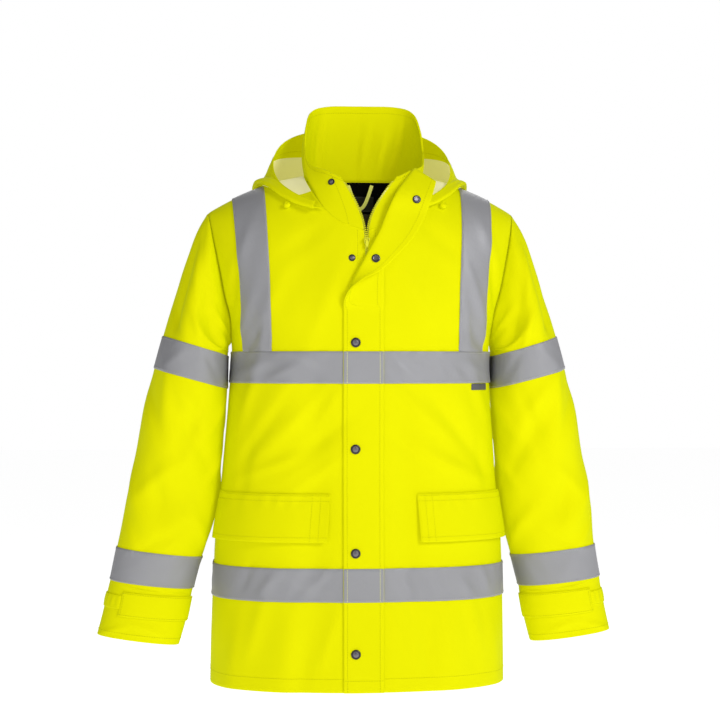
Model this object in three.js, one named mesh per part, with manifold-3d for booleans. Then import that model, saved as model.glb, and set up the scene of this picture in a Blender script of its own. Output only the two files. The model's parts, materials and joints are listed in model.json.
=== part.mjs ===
// A waterproof hi-vis work jacket, filled out as worn and hollow, with its hood turned back, its zip
// run down to the chest and the top of its storm flap rolled back like a lapel.
// Millimetres, +Z up, front towards -Y, the wearer's right towards -X.
// Heights in the tables are above the hem; the whole jacket is then lowered so that the origin is the
// middle of the neck opening, level with the neck points of the shoulder seams.
import * as THREE from 'three';
import Module from 'manifold-3d';

const wasm = await Module();
wasm.setup();

// Driving dimensions
const NECK_POINT_HEIGHT = 806;
const ARMPIT_HEIGHT = 540;
const SHOULDER_POINT_HEIGHT = 751;
const CLOTH = 2; // padded shell wall
const GAP = 0.3; // between pieces at seams and under what is sewn on
const TAPE = 0.8; // retro-reflective tape
const LINING = 1.2;
const CHEST_BAND = [477, 526];
const HEM_BAND = [139, 190];
const SECTION_POWER = 2.4; // squareness of the torso's plan and of its shoulder round
const SLEEVE_POWER = 2.2;
const ROUND_START = 560; // height where the chest begins to round in to the shoulder
const ZIP_HALF = 3; // from the centre line to a front's edge
const SLIDER_HEIGHT = 697;
const PANEL_BACK = 0.15; // half the gap between a front and the back
const NECK_HALF = 90; // from the centre to a neck point
const SEAM_SHARE = 0.02; // share of the depth under which a point is on the side seam or shoulder ridge
const THINNEST = 0.002;
const RIDGE_LEAN = 0.42; // outward slope of the shoulder ridge
const FOLD_FADE = 1.6; // folds die out towards the seams

// Torso sections: half width, depth of front and back, shift sideways
const TORSO = [
  { z: 0, half: 236.5, front: 147, back: 150, shift: -5.5 },
  { z: 75, half: 235.5, front: 145, back: 145, shift: -5 },
  { z: 165, half: 233, front: 142, back: 139, shift: -4 },
  { z: 250, half: 229, front: 139, back: 133, shift: -3.5 },
  { z: 320, half: 221, front: 137, back: 128, shift: -3 },
  { z: 380, half: 216, front: 137, back: 125, shift: -2.5 },
  { z: 450, half: 211, front: 139, back: 124, shift: -1.5 },
  { z: 540, half: 207.5, front: 142, back: 127, shift: 0 },
  { z: 613, half: 227, front: 142, back: 131, shift: 1 },
  { z: 705, half: 252, front: 140, back: 131, shift: 2 },
  { z: 860, half: 290, front: 138, back: 128, shift: 2 },
];
// Height of the shoulder ridge over each distance from the centre; under 90 it closes over the neck hole
const SHOULDER = [
  { x: 0, z: 852 }, { x: 55, z: 836 }, { x: 82, z: 813 }, { x: 90, z: 806 }, { x: 120, z: 799 },
  { x: 162, z: 788.5 }, { x: 205, z: 770.5 }, { x: 245, z: 751 }, { x: 275, z: 732 },
];
// Armhole seam seen from the front
const ARMHOLE = [
  { z: 540, x: 207.5 }, { z: 570, x: 210 }, { z: 613, x: 219 }, { z: 660, x: 228 },
  { z: 705, x: 237 }, { z: 751, x: 245 },
];
const NECK_FRONT = [
  { x: 3, z: 714 }, { x: 40, z: 729 }, { x: 62, z: 747 },
  { x: 78, z: 772 }, { x: 87, z: 794 }, { x: 90, z: 806 },
];
const NECK_BACK = [{ x: 0, z: 808 }, { x: 55, z: 807 }, { x: 82, z: 806.2 }, { x: 90, z: 806 }];
// Column lines of the body panels: distance from the centre line at the hem, chest and top
const NECK_COLUMN = [{ z: 0, x: 70 }, { z: 526, x: 80 }, { z: 806, x: 90 }];
const BRACE_IN = [{ z: 0, x: 146 }, { z: 526, x: 146 }, { z: 806, x: 157 }];
const BRACE_OUT = [{ z: 0, x: 190 }, { z: 526, x: 189 }, { z: 771, x: 206 }];
const ZIP_EDGE = [{ z: 0, x: 3 }, { z: 690, x: 3 }, { z: 714, x: 4.5 }];
const BODY_ROWS = [0, 70, 139, 190, 231, 268, 305, 360, 420, 477, 526, 540];
const UPPER_ROWS = 8;
const ROW_EASE = 0.95; // sets the upper rows closer together towards the ridge
const TABLE_TOP = 780; // height at which the column lines are read for the top edge
const TOP_PASSES = 8;

// Soft folds of the body: centre, slope of its line in degrees, half length and width, and height
const BODY_FOLDS = [
  { face: 'front', x: -150, z: 420, slope: 62, length: 90, width: 22, height: 4 },
  { face: 'front', x: -95, z: 345, slope: 25, length: 70, width: 20, height: 3 },
  { face: 'front', x: 165, z: 420, slope: -58, length: 90, width: 24, height: 4 },
  { face: 'front', x: 110, z: 360, slope: -30, length: 70, width: 20, height: 3 },
  { face: 'front', x: -120, z: 70, slope: 80, length: 80, width: 26, height: 4 },
  { face: 'front', x: 130, z: 80, slope: -82, length: 80, width: 28, height: 4 },
  { face: 'front', x: -100, z: 650, slope: 50, length: 70, width: 26, height: -3 },
  { face: 'front', x: 120, z: 655, slope: -52, length: 70, width: 26, height: -3 },
  { face: 'back', x: -90, z: 400, slope: 55, length: 100, width: 26, height: 5 },
  { face: 'back', x: 100, z: 380, slope: -50, length: 100, width: 28, height: 5 },
  { face: 'back', x: -130, z: 80, slope: 84, length: 90, width: 30, height: 5 },
  { face: 'back', x: 20, z: 90, slope: -86, length: 100, width: 32, height: 5 },
  { face: 'back', x: 150, z: 90, slope: -80, length: 90, width: 30, height: 5 },
];

// Sleeve rings after the armhole: outer and inner points seen from the front, half depth, shift in Y
const SLEEVE_RINGS = [
  { outX: 257, outZ: 725, inX: 211.5, inZ: 535, depth: 66, y: 0 },
  { outX: 281, outZ: 667, inX: 213, inZ: 530, depth: 74, y: -1 },
  { outX: 302, outZ: 600, inX: 214.5, inZ: 525, depth: 79, y: -2 },
  { outX: 316.5, outZ: 551, inX: 216, inZ: 519, depth: 81, y: -3 },
  { outX: 330.5, outZ: 500, inX: 219.5, inZ: 467.5, depth: 80, y: -4 },
  { outX: 346, outZ: 437, inX: 224.5, inZ: 400, depth: 74, y: -5 },
  { outX: 362, outZ: 352, inX: 230.5, inZ: 328, depth: 66, y: -7 },
  { outX: 377.5, outZ: 276, inX: 238.5, inZ: 260, depth: 59, y: -8 },
  { outX: 389.5, outZ: 216, inX: 257, inZ: 200, depth: 52, y: -10 },
  { outX: 400, outZ: 164.5, inX: 268.7, inZ: 150, depth: 47, y: -11 },
  { outX: 403.5, outZ: 150, inX: 272, inZ: 136.5, depth: 46, y: -11 },
  { outX: 412, outZ: 112, inX: 280, inZ: 98, depth: 42, y: -12 },
  { outX: 421, outZ: 78, inX: 291, inZ: 60, depth: 38, y: -12 },
];
const RING = { bandTop: 4, bandBottom: 5, lowBandTop: 9, lowBandBottom: 10, tabTop: 11 };
const SLEEVE_STEPS = [0, 1, 2, 3, 4, 5, 5.5, 6, 6.5, 7, 7.5, 8, 8.5, 9, 10, 11, 12, 13];
const SLEEVE_SIDES = 20;
const SLEEVE_START = 0.85; // out from the armhole's edge
// Cuff pieces, by the sides of the sleeve from the outer line round the front
const CUFF_TAB_SIDES = [3, 10];
const CUFF_STRAP_SIDES = [15, 16, 17, 18, 19, 0, 1, 2, 3];
const CUFF_STRAP_SHARES = [0.2, 0.72];
const CUFF_TAB_WALL = 2.1;
const CUFF_STRAP_WALL = 1.3;
// How much further in the wearer's left arm hangs, ring by ring from elbow to cuff
const LEFT_ARM_IN = [
  { ring: 0, x: 0 }, { ring: 6, x: 0 }, { ring: 8, x: 3 }, { ring: 9, x: 10 }, { ring: 13, x: 16 },
];
// Sleeve folds: place round (0 outer side, 90 front) and along, their half widths, twist and height
const SLEEVE_FOLDS = [
  { round: 60, ring: 6.4, wide: 50, tall: 0.5, twist: 24, height: 5 },
  { round: 110, ring: 7.4, wide: 46, tall: 0.5, twist: -26, height: -5 },
  { round: 70, ring: 8.2, wide: 44, tall: 0.45, twist: 22, height: 4 },
  { round: 250, ring: 6.8, wide: 50, tall: 0.5, twist: -24, height: 5 },
  { round: 290, ring: 7.9, wide: 46, tall: 0.5, twist: 22, height: -5 },
  { round: 100, ring: 2.4, wide: 40, tall: 0.6, twist: 30, height: -4 },
  { round: 265, ring: 2.5, wide: 42, tall: 0.6, twist: -30, height: -4 },
];

// Collar stations from the front end (0) round to the centre back (1): foot on the neckline, top edge
const COLLAR = [
  { at: 0, footX: 5, topX: 45.5, topY: -96, topZ: 800 },
  { at: 0.12, footX: 40, topX: 68, topY: -80, topZ: 812 },
  { at: 0.26, footX: 72, topX: 90, topY: -48, topZ: 823 },
  { at: 0.38, footX: 86.5, topX: 95.5, topY: -17, topZ: 848 },
  { at: 0.5, footX: 90, topX: 94, topY: 10, topZ: 884 },
  { at: 0.64, footX: 81, topX: 85, topY: 40, topZ: 916 },
  { at: 0.8, footX: 52, topX: 57, topY: 58, topZ: 928 },
  { at: 1, footX: 0, topX: 0, topY: 64, topZ: 930 },
];
const COLLAR_SHIFT = 6; // the top edge leans to the wearer's left
const COLLAR_WALL = 3;
const COLLAR_BULGE = 5;
const COLLAR_FLARE = { reach: 0.25, power: 0.6 }; // the opened ends stay close below and flare above
const COLLAR_STATIONS = 30;
const COLLAR_RISES = 5;

// Hood stations from the front end (0) to the centre back (1): foot on the neckline, rim point, how far
// out from the rim and below it the bag turns, and the belly of its outer layer
const HOOD = [
  { at: 0.1, footX: 62, rimX: 80, rimY: -114, rimZ: 761, turnOut: 5, turnDown: 7, belly: 0 },
  { at: 0.2, footX: 74, rimX: 106, rimY: -98, rimZ: 768, turnOut: 7, turnDown: 9, belly: 0 },
  { at: 0.32, footX: 84, rimX: 127, rimY: -74, rimZ: 778, turnOut: 11, turnDown: 10, belly: 0 },
  { at: 0.42, footX: 89, rimX: 144, rimY: -42, rimZ: 797, turnOut: 13, turnDown: 14, belly: 1 },
  { at: 0.52, footX: 90, rimX: 148, rimY: -8, rimZ: 826, turnOut: 13, turnDown: 36, belly: 2 },
  { at: 0.64, footX: 82, rimX: 136, rimY: 36, rimZ: 862, turnOut: 30, turnDown: 110, belly: 8 },
  { at: 0.8, footX: 54, rimX: 96, rimY: 78, rimZ: 886, turnOut: 48, turnDown: 210, belly: 18 },
  { at: 1, footX: 0, rimX: 0, rimY: 96, rimZ: 898, turnOut: 50, turnDown: 245, belly: 22 },
];
const HOOD_SHIFT = 4;
const HOOD_STATIONS = 28;
const HOOD_RUNS = [0, 0.06, 0.12, 0.18, 0.24, 0.3, 0.36, 0.42, 0.47, 0.52, 0.58, 0.64, 0.76, 0.88, 1];
const TURN = [0.3, 0.64]; // share of the run where the bag turns under
const TURN_UNDER = 20; // below the ridge, where the body's lean at the turn is read
const LINING_RUNS = [1, 4]; // the lining runs from the facing down towards the turn of the bag
const LINING_START = 8; // stations left out of the lining at each end
const LINING_GAP = 0.6; // slack between hood and lining where the bag turns
const HOOD_EASING = 6; // passes that ease the bag's kinks over the shoulders
const HOOD_WALL = 1.4;
const HOOD_SEAT = 2.2; // out from the body at the neck seam
// How far outer and inner layers stay clear of the body, in the bag and at the hood's front ends
const BAG_CLEAR = { outer: 16, inner: 5 };
const END_CLEAR = { outer: 12, inner: 4 };
const BAG_STARTS = [0.36, 0.6]; // stations between which the ends open into the bag
const SEAT_PASSES = 2;
const SEAT_SAMPLES = 24;

// Storm flap: sewn edge and free edge when closed, then the rolled-back rows
const FLAP_SEAM = 25;
const FLAP_FREE = -36;
const FLAP_OFF = 1.6; // inner face above the front
const FLAP_WALL = 2;
const FLAP_COLUMNS = 6;
const FLAP_ROWS = [0, 70, 139, 190, 231, 268, 305, 360, 420, 477, 526, 560, 590];
const LAPEL_RISE = { root: 0.45, fold: 0.5 }; // shares of a row's standing off at its seam and fold
const LAPEL = [
  { rootX: 25, rootZ: 600, foldX: -24, foldZ: 600, freeX: -36, freeZ: 600, off: 3, roll: 1.5, turn: -4, out: 5 },
  { rootX: 25, rootZ: 612, foldX: -26, foldZ: 612, freeX: -34, freeZ: 610, off: 5, roll: 4, turn: -3, out: 11 },
  { rootX: 25, rootZ: 627, foldX: -25, foldZ: 627, freeX: -27, freeZ: 622, off: 6, roll: 6, turn: -1, out: 17 },
  { rootX: 25, rootZ: 648, foldX: -17, foldZ: 647, freeX: -6, freeZ: 637, off: 6, roll: 7, turn: 1, out: 19 },
  { rootX: 25, rootZ: 668, foldX: -5, foldZ: 667, freeX: 20, freeZ: 650, off: 7, roll: 8, turn: 1, out: 16 },
  { rootX: 25.5, rootZ: 690, foldX: 8, foldZ: 690, freeX: 46, freeZ: 674, off: 8, roll: 8, turn: 1, out: 15 },
  { rootX: 29, rootZ: 712, foldX: 21, foldZ: 713, freeX: 70, freeZ: 702, off: 10, roll: 8, turn: 1, out: 17 },
  { rootX: 40, rootZ: 738, foldX: 32, foldZ: 739, freeX: 86, freeZ: 732, off: 14, roll: 8, turn: 1, out: 21 },
  { rootX: 54, rootZ: 768, foldX: 47, foldZ: 769, freeX: 98, freeZ: 753, off: 24, roll: 8, turn: 1, out: 27 },
  { rootX: 76, rootZ: 800, foldX: 69, foldZ: 803, freeX: 106, freeZ: 772, off: 36, roll: 8, turn: 1, out: 32 },
];

const POCKETS = [
  { node: 'pocket_flap_right', side: -1, from: 57 },
  { node: 'pocket_flap_left', side: 1, from: 79 },
];
const POCKET_TOP = 305;
const POCKET_BOTTOM = 231;
const POCKET_LIFT = 5; // how far the lower edge stands off
const POCKET_SLANT = 5;
const POCKET_WALL = 1.8;
const POCKET_SKIP = 2; // columns of the front before the pockets
const POCKET_COLUMNS = 3; // columns spaced anew from the pocket's inner edge
const SIDE_LABEL = { from: 166, to: 194, low: 466, high: 475.5, lift: 0.8, thick: 0.8, columns: 3 };
const NECK_LABEL = { half: 24, low: 762, high: 786, lift: 0.7, thick: 0.7, columns: 3, rows: 2 };
const LOOP = {
  left: -14, right: 26, top: 799, drop: 34, bow: 5, width: 5, thick: 1, lift: 1, steps: 12,
};
const SNAP_HEIGHTS = [59, 214, 375, 540];
const SNAP_X = -18;
const SNAP_RADIUS = 7.6;
const SNAP_SIDES = 12;
const TOGGLE_SIDES = 10;
// Places of the opened snap halves and of the hood's toggles
const LOWER_STUD = { x: -23, z: 671 };
const UPPER_STUD = { station: -0.9, rise: 0.78 };
const LOWER_SOCKET = { row: 4.35, share: 0.42 };
const UPPER_SOCKET = { row: 7.75, share: 0.6 };
const TOGGLE = { station: 0.72, down: 26, out: 0.5, under: 20 };
// Turned shapes: radius and height from the seat up
const CAP_PROFILE = [
  [0, 0], [SNAP_RADIUS, 0], [SNAP_RADIUS, 0.9], [SNAP_RADIUS - 1.4, 2.1], [4.2, 1.8], [0, 2.5],
];
const TOGGLE_PROFILE = [[0, 0], [3.4, 0.3], [5.4, 2.6], [5.6, 5], [4.2, 8], [2.2, 9.2], [0, 9.4]];
const STUD_PROFILE = [[0, 0], [5.4, 0], [5.4, 0.9], [3, 1.2], [2.6, 3], [1.9, 3.6], [0, 3.6]];
const SOCKET_PROFILE = [[0, 0], [6.6, 0], [6.6, 1.4], [5.4, 2.2], [3.4, 2.2], [2.8, 0.9], [0, 0.9]];

// Zip
const ZIP_TAPE_WIDTH = 13;
const ZIP_ROWS = [6, 70, 139, 190, 231, 268, 305, 360, 420, 477, 526, 560, 600, 645, 690];
const SLIDER = {
  width: 9, neck: 5, depth: 5, height: 10, shoulder: 1, standOff: 1.1,
  ear: 1.2, earIn: 0.4, hingeOut: 2, hingeUp: 2,
};
const PULL = { width: 4.4, neck: 2.8, length: 11, thick: 1.4, barrel: 1.1, sides: 10 };

// Finishes
const YELLOW = { color: 0xeef000, roughness: 0.6, metalness: 0 };
const SILVER = { color: 0x9a9a9c, roughness: 0.5, metalness: 0.1 };
const GUNMETAL = { color: 0x3c3a40, roughness: 0.3, metalness: 0.9 };
const BLACK = { color: 0x101012, roughness: 0.9, metalness: 0 };
const MESH_GREY = { color: 0x3a352c, roughness: 0.9, metalness: 0 };
const CREAM = { color: 0xd9d68f, roughness: 0.6, metalness: 0 };
const PALE_YELLOW = { color: 0xdede60, roughness: 0.7, metalness: 0 };
const SLIDER_FINISH = { color: 0xd8dc10, roughness: 0.45, metalness: 0.2 };

const jacket = new THREE.Group();
jacket.name = 'jacket';
jacket.position.z = -NECK_POINT_HEIGHT;

// Small helpers

const vec = (x, y, z) => new THREE.Vector3(x, y, z);
const mix = (a, b, t) => a + (b - a) * t;
const range = (count) => Array.from({ length: count }, (_, i) => i);
const sum = (list) => list.reduce((a, b) => a + b, 0);
const degrees = Math.PI / 180;

// Smooth value of a table's column: a cubic through the rows, with slopes from the rows on each side
function along(table, key, at, column) {
  const last = table.length - 1;
  if (at <= table[0][key]) return table[0][column];
  if (at >= table[last][key]) return table[last][column];
  let i = 0;
  while (at > table[i + 1][key]) i += 1;
  const slope = (j) => {
    const before = table[Math.max(j - 1, 0)];
    const after = table[Math.min(j + 1, last)];
    return (after[column] - before[column]) / (after[key] - before[key]);
  };
  const span = table[i + 1][key] - table[i][key];
  const t = (at - table[i][key]) / span;
  const rise = table[i + 1][column] - table[i][column];
  const start = slope(i) * span;
  const end = slope(i + 1) * span;
  return table[i][column] + t * (start + t * (3 * rise - 2 * start - end + t * (start + end - 2 * rise)));
}

// A named mesh from a list of points and triangles, turned so that its volume is positive
function addMesh(name, points, triangles, finish) {
  let volume = 0;
  triangles.forEach(([a, b, c]) => {
    volume += points[a].dot(points[b].clone().cross(points[c]));
  });
  const faces = volume < 0 ? triangles.map(([a, b, c]) => [a, c, b]) : triangles;
  const geometry = new THREE.BufferGeometry();
  geometry.setAttribute('position', new THREE.Float32BufferAttribute(points.flatMap((p) => p.toArray()), 3));
  geometry.setIndex(faces.flat());
  geometry.computeVertexNormals();
  const mesh = new THREE.Mesh(geometry, new THREE.MeshStandardMaterial({ ...finish, flatShading: true }));
  mesh.name = name;
  jacket.add(mesh);
  return mesh;
}

// A closed cloth wall between two grids of points (rows of columns); around joins last column to first
function addWall(name, outer, inner, finish, around = false) {
  const rows = outer.length;
  const columns = outer[0].length;
  const points = [...outer.flat(), ...inner.flat()];
  const layer = rows * columns;
  const triangles = [];
  const quad = (a, b, c, d) => triangles.push([a, b, c], [a, c, d]);
  const steps = around ? columns : columns - 1;
  for (let r = 0; r < rows - 1; r += 1) {
    for (let c = 0; c < steps; c += 1) {
      const next = (c + 1) % columns;
      const corners = [r * columns + c, r * columns + next, (r + 1) * columns + next, (r + 1) * columns + c];
      quad(...corners);
      const [a, b, d, e] = corners.map((i) => i + layer);
      triangles.push([a, d, b], [a, e, d]);
    }
  }
  for (let c = 0; c < steps; c += 1) {
    const next = (c + 1) % columns;
    quad(c, c + layer, next + layer, next);
    const top = (rows - 1) * columns;
    quad(top + c, top + next, top + next + layer, top + c + layer);
  }
  if (!around) {
    for (let r = 0; r < rows - 1; r += 1) {
      const low = r * columns;
      const high = low + columns;
      quad(low, high, high + layer, low + layer);
      quad(low + columns - 1, low + columns - 1 + layer, high + columns - 1 + layer, high + columns - 1);
    }
  }
  return addMesh(name, points, triangles, finish);
}

// Points of a grid of {point, normal} pairs moved out
const moved = (grid, out) => grid.map((row) => row.map(({ point, normal }) => (
  point.clone().addScaledVector(normal, out))));

// A wall on part of a panel's grid, between two distances out of it
function addPatch(name, grid, rows, columns, from, to, finish) {
  const part = grid.slice(rows[0], rows[1] + 1).map((row) => row.slice(columns[0], columns[1] + 1));
  return addWall(name, moved(part, to), moved(part, from), finish);
}

// Torso

const ridge = (x) => along(SHOULDER, 'x', Math.abs(x), 'z');

// Height of a soft fold at a place: a bump along its line and across it
function foldHeight(folds, face, x, z) {
  return folds.filter((fold) => fold.face === face).reduce((sum, fold) => {
    const c = Math.cos(fold.slope * degrees);
    const s = Math.sin(fold.slope * degrees);
    const u = ((x - fold.x) * c + (z - fold.z) * s) / fold.length;
    const v = (-(x - fold.x) * s + (z - fold.z) * c) / fold.width;
    return sum + fold.height * Math.exp(-u * u - v * v);
  }, 0);
}

// The torso's surface at x and z: front or back point with its outward normal.
// In plan each section is a super-ellipse; above ROUND_START its depth rounds in to the ridge.
function torso(face, x, z) {
  const n = SECTION_POWER;
  const sign = face === 'front' ? -1 : 1;
  const read = (height, column) => along(TORSO, 'z', height, column);
  const depthAt = (px, pz) => {
    const across = Math.min(Math.abs(px - read(pz, 'shift')) / read(pz, 'half'), 1);
    const wide = Math.max(1 - across ** n, 0) ** (1 / n);
    const rise = Math.min(Math.max((pz - ROUND_START) / (ridge(px) - ROUND_START), 0), 1);
    const tall = Math.max(1 - rise ** n, 0) ** (1 / n);
    return { wide, tall, depth: read(pz, face) * Math.max(wide, THINNEST) * Math.max(tall, THINNEST) };
  };
  const here = depthAt(x, z);
  const small = 0.05;
  const dx = (depthAt(x + small, z).depth - depthAt(x - small, z).depth) / (2 * small);
  const dz = (depthAt(x, z + small).depth - depthAt(x, z - small).depth) / (2 * small);
  const normal = vec(-dx, sign, -dz).normalize();
  const lean = Math.abs(x) > NECK_HALF ? RIDGE_LEAN * Math.sign(x) : 0;
  if (here.wide < SEAM_SHARE) normal.set(Math.sign(x), 0, -SEAM_SHARE).normalize();
  else if (here.tall < 2 * SEAM_SHARE) normal.set(lean, 0, 1).normalize();
  const fade = Math.min(here.wide, here.tall);
  const lift = foldHeight(BODY_FOLDS, face, x, z) * Math.min(1, FOLD_FADE * fade);
  const edge = here.wide < SEAM_SHARE || here.tall < SEAM_SHARE ? 0 : here.depth;
  const point = vec(x, sign * (edge + PANEL_BACK), z).addScaledVector(normal, lift);
  return { point, normal };
}

// Column positions between key lines, evenly spaced in the section's angle
function columnX(side, keys, counts, z) {
  const n = SECTION_POWER;
  const shift = along(TORSO, 'z', z, 'shift') * side;
  const half = along(TORSO, 'z', z, 'half');
  const angleOf = (x) => Math.asin(Math.min(Math.max((x - shift) / half, 0), 1) ** (n / 2));
  const xOf = (angle) => shift + half * Math.sin(angle) ** (2 / n);
  const xs = [keys[0](z)];
  counts.forEach((count, k) => {
    const from = angleOf(keys[k](z));
    const to = angleOf(keys[k + 1](z));
    for (let i = 1; i <= count; i += 1) xs.push(i === count ? keys[k + 1](z) : xOf(mix(from, to, i / count)));
  });
  return xs.map((x) => x * side);
}

// Side line of a panel: the side seam below the armpit, the armhole above
function sideLine(side) {
  return (z) => {
    const shift = along(TORSO, 'z', z, 'shift') * side;
    return z <= ARMPIT_HEIGHT ? along(TORSO, 'z', z, 'half') + shift : along(ARMHOLE, 'z', z, 'x');
  };
}

const lineOf = (table) => (z) => along(table, 'z', z, 'x');

// Top edge of a panel over a column: neckline inside the neck point, shoulder ridge outside
function topEdge(face, x) {
  const distance = Math.abs(x);
  const neckline = face === 'front' ? NECK_FRONT : NECK_BACK;
  if (distance < NECK_HALF) return along(neckline, 'x', distance, 'z');
  return ridge(distance);
}

// One half of a body panel as a grid of {point, normal}: rows from hem to top, columns outwards
function halfPanel(face, side, keys, counts) {
  const columns = sum(counts) + 1;
  const flat = BODY_ROWS.map((z) => columnX(side, keys, counts, z).map((x) => torso(face, x, z)));
  const upper = range(UPPER_ROWS).map((r) => {
    const share = Math.sin(((r + 1) / UPPER_ROWS) * Math.PI / 2) ** ROW_EASE;
    return range(columns).map((c) => {
      let z = mix(ARMPIT_HEIGHT, TABLE_TOP, share);
      range(TOP_PASSES).forEach(() => {
        const top = topEdge(face, columnX(side, keys, counts, mix(z, TABLE_TOP, 0.5))[c]);
        const x = columnX(side, keys, counts, Math.min(top, TABLE_TOP + 20))[c];
        z = mix(ARMPIT_HEIGHT, topEdge(face, x), share);
      });
      return torso(face, columnX(side, keys, counts, z)[c], z);
    });
  });
  return [...flat, ...upper];
}

const FRONT_COUNTS = [4, 2, 2, 4];
const BACK_COUNTS = [3, 1, 2, 4];
const frontGrid = (side) => halfPanel('front', side,
  [lineOf(ZIP_EDGE), lineOf(NECK_COLUMN), lineOf(BRACE_IN), lineOf(BRACE_OUT), sideLine(side)], FRONT_COUNTS);
const backHalf = (side) => halfPanel('back', side,
  [() => 0, lineOf(NECK_COLUMN), lineOf(BRACE_IN), lineOf(BRACE_OUT), sideLine(side)], BACK_COUNTS);
const frontRight = frontGrid(-1);
const frontLeft = frontGrid(1);
const backRight = backHalf(-1);
const backLeft = backHalf(1);
const backGrid = backLeft.map((row, r) => [...backRight[r].slice(1).reverse(), ...row]);

const ROWS = BODY_ROWS.length + UPPER_ROWS;
const FRONT_LAST = sum(FRONT_COUNTS);
const BACK_LAST = 2 * sum(BACK_COUNTS);
const rowOf = (z) => BODY_ROWS.indexOf(z);

function addBody() {
  const whole = [0, ROWS - 1];
  addPatch('front_right', frontRight, whole, [0, FRONT_LAST], -CLOTH, 0, YELLOW);
  addPatch('front_left', frontLeft, whole, [0, FRONT_LAST], -CLOTH, 0, YELLOW);
  addPatch('back', backGrid, whole, [0, BACK_LAST], -CLOTH, 0, YELLOW);
}

// Tape on the body: two bands all round and a brace over each shoulder

function addBodyTapes() {
  const bands = [['chest', CHEST_BAND], ['hem', HEM_BAND]];
  bands.forEach(([name, [low, high]]) => {
    const rows = [rowOf(low), rowOf(high)];
    addPatch(`${name}_tape_right`, frontRight, rows, [0, FRONT_LAST], GAP, GAP + TAPE, SILVER);
    addPatch(`${name}_tape_left`, frontLeft, rows, [0, FRONT_LAST], GAP, GAP + TAPE, SILVER);
    addPatch(`${name}_tape_back`, backGrid, rows, [0, BACK_LAST], GAP, GAP + TAPE, SILVER);
  });
  const inner = FRONT_COUNTS[0] + FRONT_COUNTS[1];
  const brace = [inner, inner + FRONT_COUNTS[2]];
  // the brace starts on the band below it, a gap above the band's edge
  const start = rowOf(CHEST_BAND[1]);
  const raise = (grid) => grid.map((row, r) => row.map((entry, c) => {
    if (r !== start) return entry;
    const above = grid[r + 1][c];
    const share = GAP / (above.point.z - entry.point.z);
    return { point: entry.point.clone().lerp(above.point, share), normal: entry.normal };
  }));
  const rows = [start, ROWS - 1];
  const middle = sum(BACK_COUNTS);
  const outside = [middle + brace[0], middle + brace[1]];
  const mirrored = [middle - brace[1], middle - brace[0]];
  addPatch('brace_tape_front_right', raise(frontRight), rows, brace, GAP, GAP + TAPE, SILVER);
  addPatch('brace_tape_front_left', raise(frontLeft), rows, brace, GAP, GAP + TAPE, SILVER);
  addPatch('brace_tape_back_right', raise(backGrid), rows, mirrored, GAP, GAP + TAPE, SILVER);
  addPatch('brace_tape_back_left', raise(backGrid), rows, outside, GAP, GAP + TAPE, SILVER);
}

// Lining that shows in the neck: a yoke and the mesh below it, on the inside of the back

function addLining() {
  const middle = sum(BACK_COUNTS);
  const reach = BACK_COUNTS[0] + BACK_COUNTS[1];
  const columns = [middle - reach, middle + reach];
  const split = ROWS - 1 - 4;
  const below = -CLOTH - GAP;
  const lowered = backGrid.map((row, r) => row.map((entry, c) => {
    if (r !== split) return entry;
    const under = backGrid[r - 1][c].point;
    const share = GAP / entry.point.distanceTo(under);
    return { point: entry.point.clone().lerp(under, share), normal: entry.normal };
  }));
  addPatch('yoke_lining', backGrid, [split, ROWS - 1], columns, below - LINING, below, BLACK);
  addPatch('mesh_lining', lowered, [rowOf(540), split], columns, below - LINING, below, MESH_GREY);
}

// Sleeves

const signedPower = (value, power) => Math.sign(value) * Math.abs(value) ** power;

// Point of the armhole seam at an angle: 0 at the shoulder point, 90 in front, 180 at the armpit
function armholePoint(side, angle) {
  const middle = (SHOULDER_POINT_HEIGHT + ARMPIT_HEIGHT) / 2;
  const reach = (SHOULDER_POINT_HEIGHT - ARMPIT_HEIGHT) / 2;
  const z = middle + reach * signedPower(Math.cos(angle), 2 / SLEEVE_POWER);
  const x = along(ARMHOLE, 'z', z, 'x') * side;
  const front = Math.sin(angle) >= 0;
  const { point, normal } = torso(front ? 'front' : 'back', x, z);
  const onSeam = Math.abs(Math.sin(angle)) < 1e-6;
  if (onSeam) point.y = 0;
  return { point, normal };
}

// Point of sleeve ring number k (0 the armhole) at an angle
function ringPoint(side, k, angle) {
  if (k === 0) {
    const { point } = armholePoint(side, angle);
    return point.add(vec(side * SLEEVE_START, 0, 0));
  }
  const ring = SLEEVE_RINGS[k - 1];
  const inward = side > 0 ? along(LEFT_ARM_IN, 'ring', k, 'x') : 0;
  const across = signedPower(Math.cos(angle), 2 / SLEEVE_POWER);
  const deep = signedPower(Math.sin(angle), 2 / SLEEVE_POWER);
  const share = (1 - across) / 2;
  const x = mix(ring.outX, ring.inX, share) - inward;
  const z = mix(ring.outZ, ring.inZ, share);
  return vec(side * x, ring.y - ring.depth * deep, z);
}

// Sleeve surface at ring number v, which need not be whole: a cubic through the rings
function sleevePoint(side, v, angle) {
  const last = SLEEVE_RINGS.length;
  const k = Math.min(Math.floor(v), last - 1);
  const t = v - k;
  const [before, from, to, after] = [k - 1, k, k + 1, k + 2].map((i) => (
    ringPoint(side, Math.min(Math.max(i, 0), last), angle)));
  const start = to.clone().sub(before).multiplyScalar(0.5);
  const end = after.sub(from).multiplyScalar(0.5);
  const rise = to.sub(from);
  const curve = rise.clone().multiplyScalar(3).addScaledVector(start, -2).sub(end);
  const twist = start.clone().add(end).addScaledVector(rise, -2);
  return from.addScaledVector(start, t).addScaledVector(curve, t * t).addScaledVector(twist, t ** 3);
}

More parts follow.
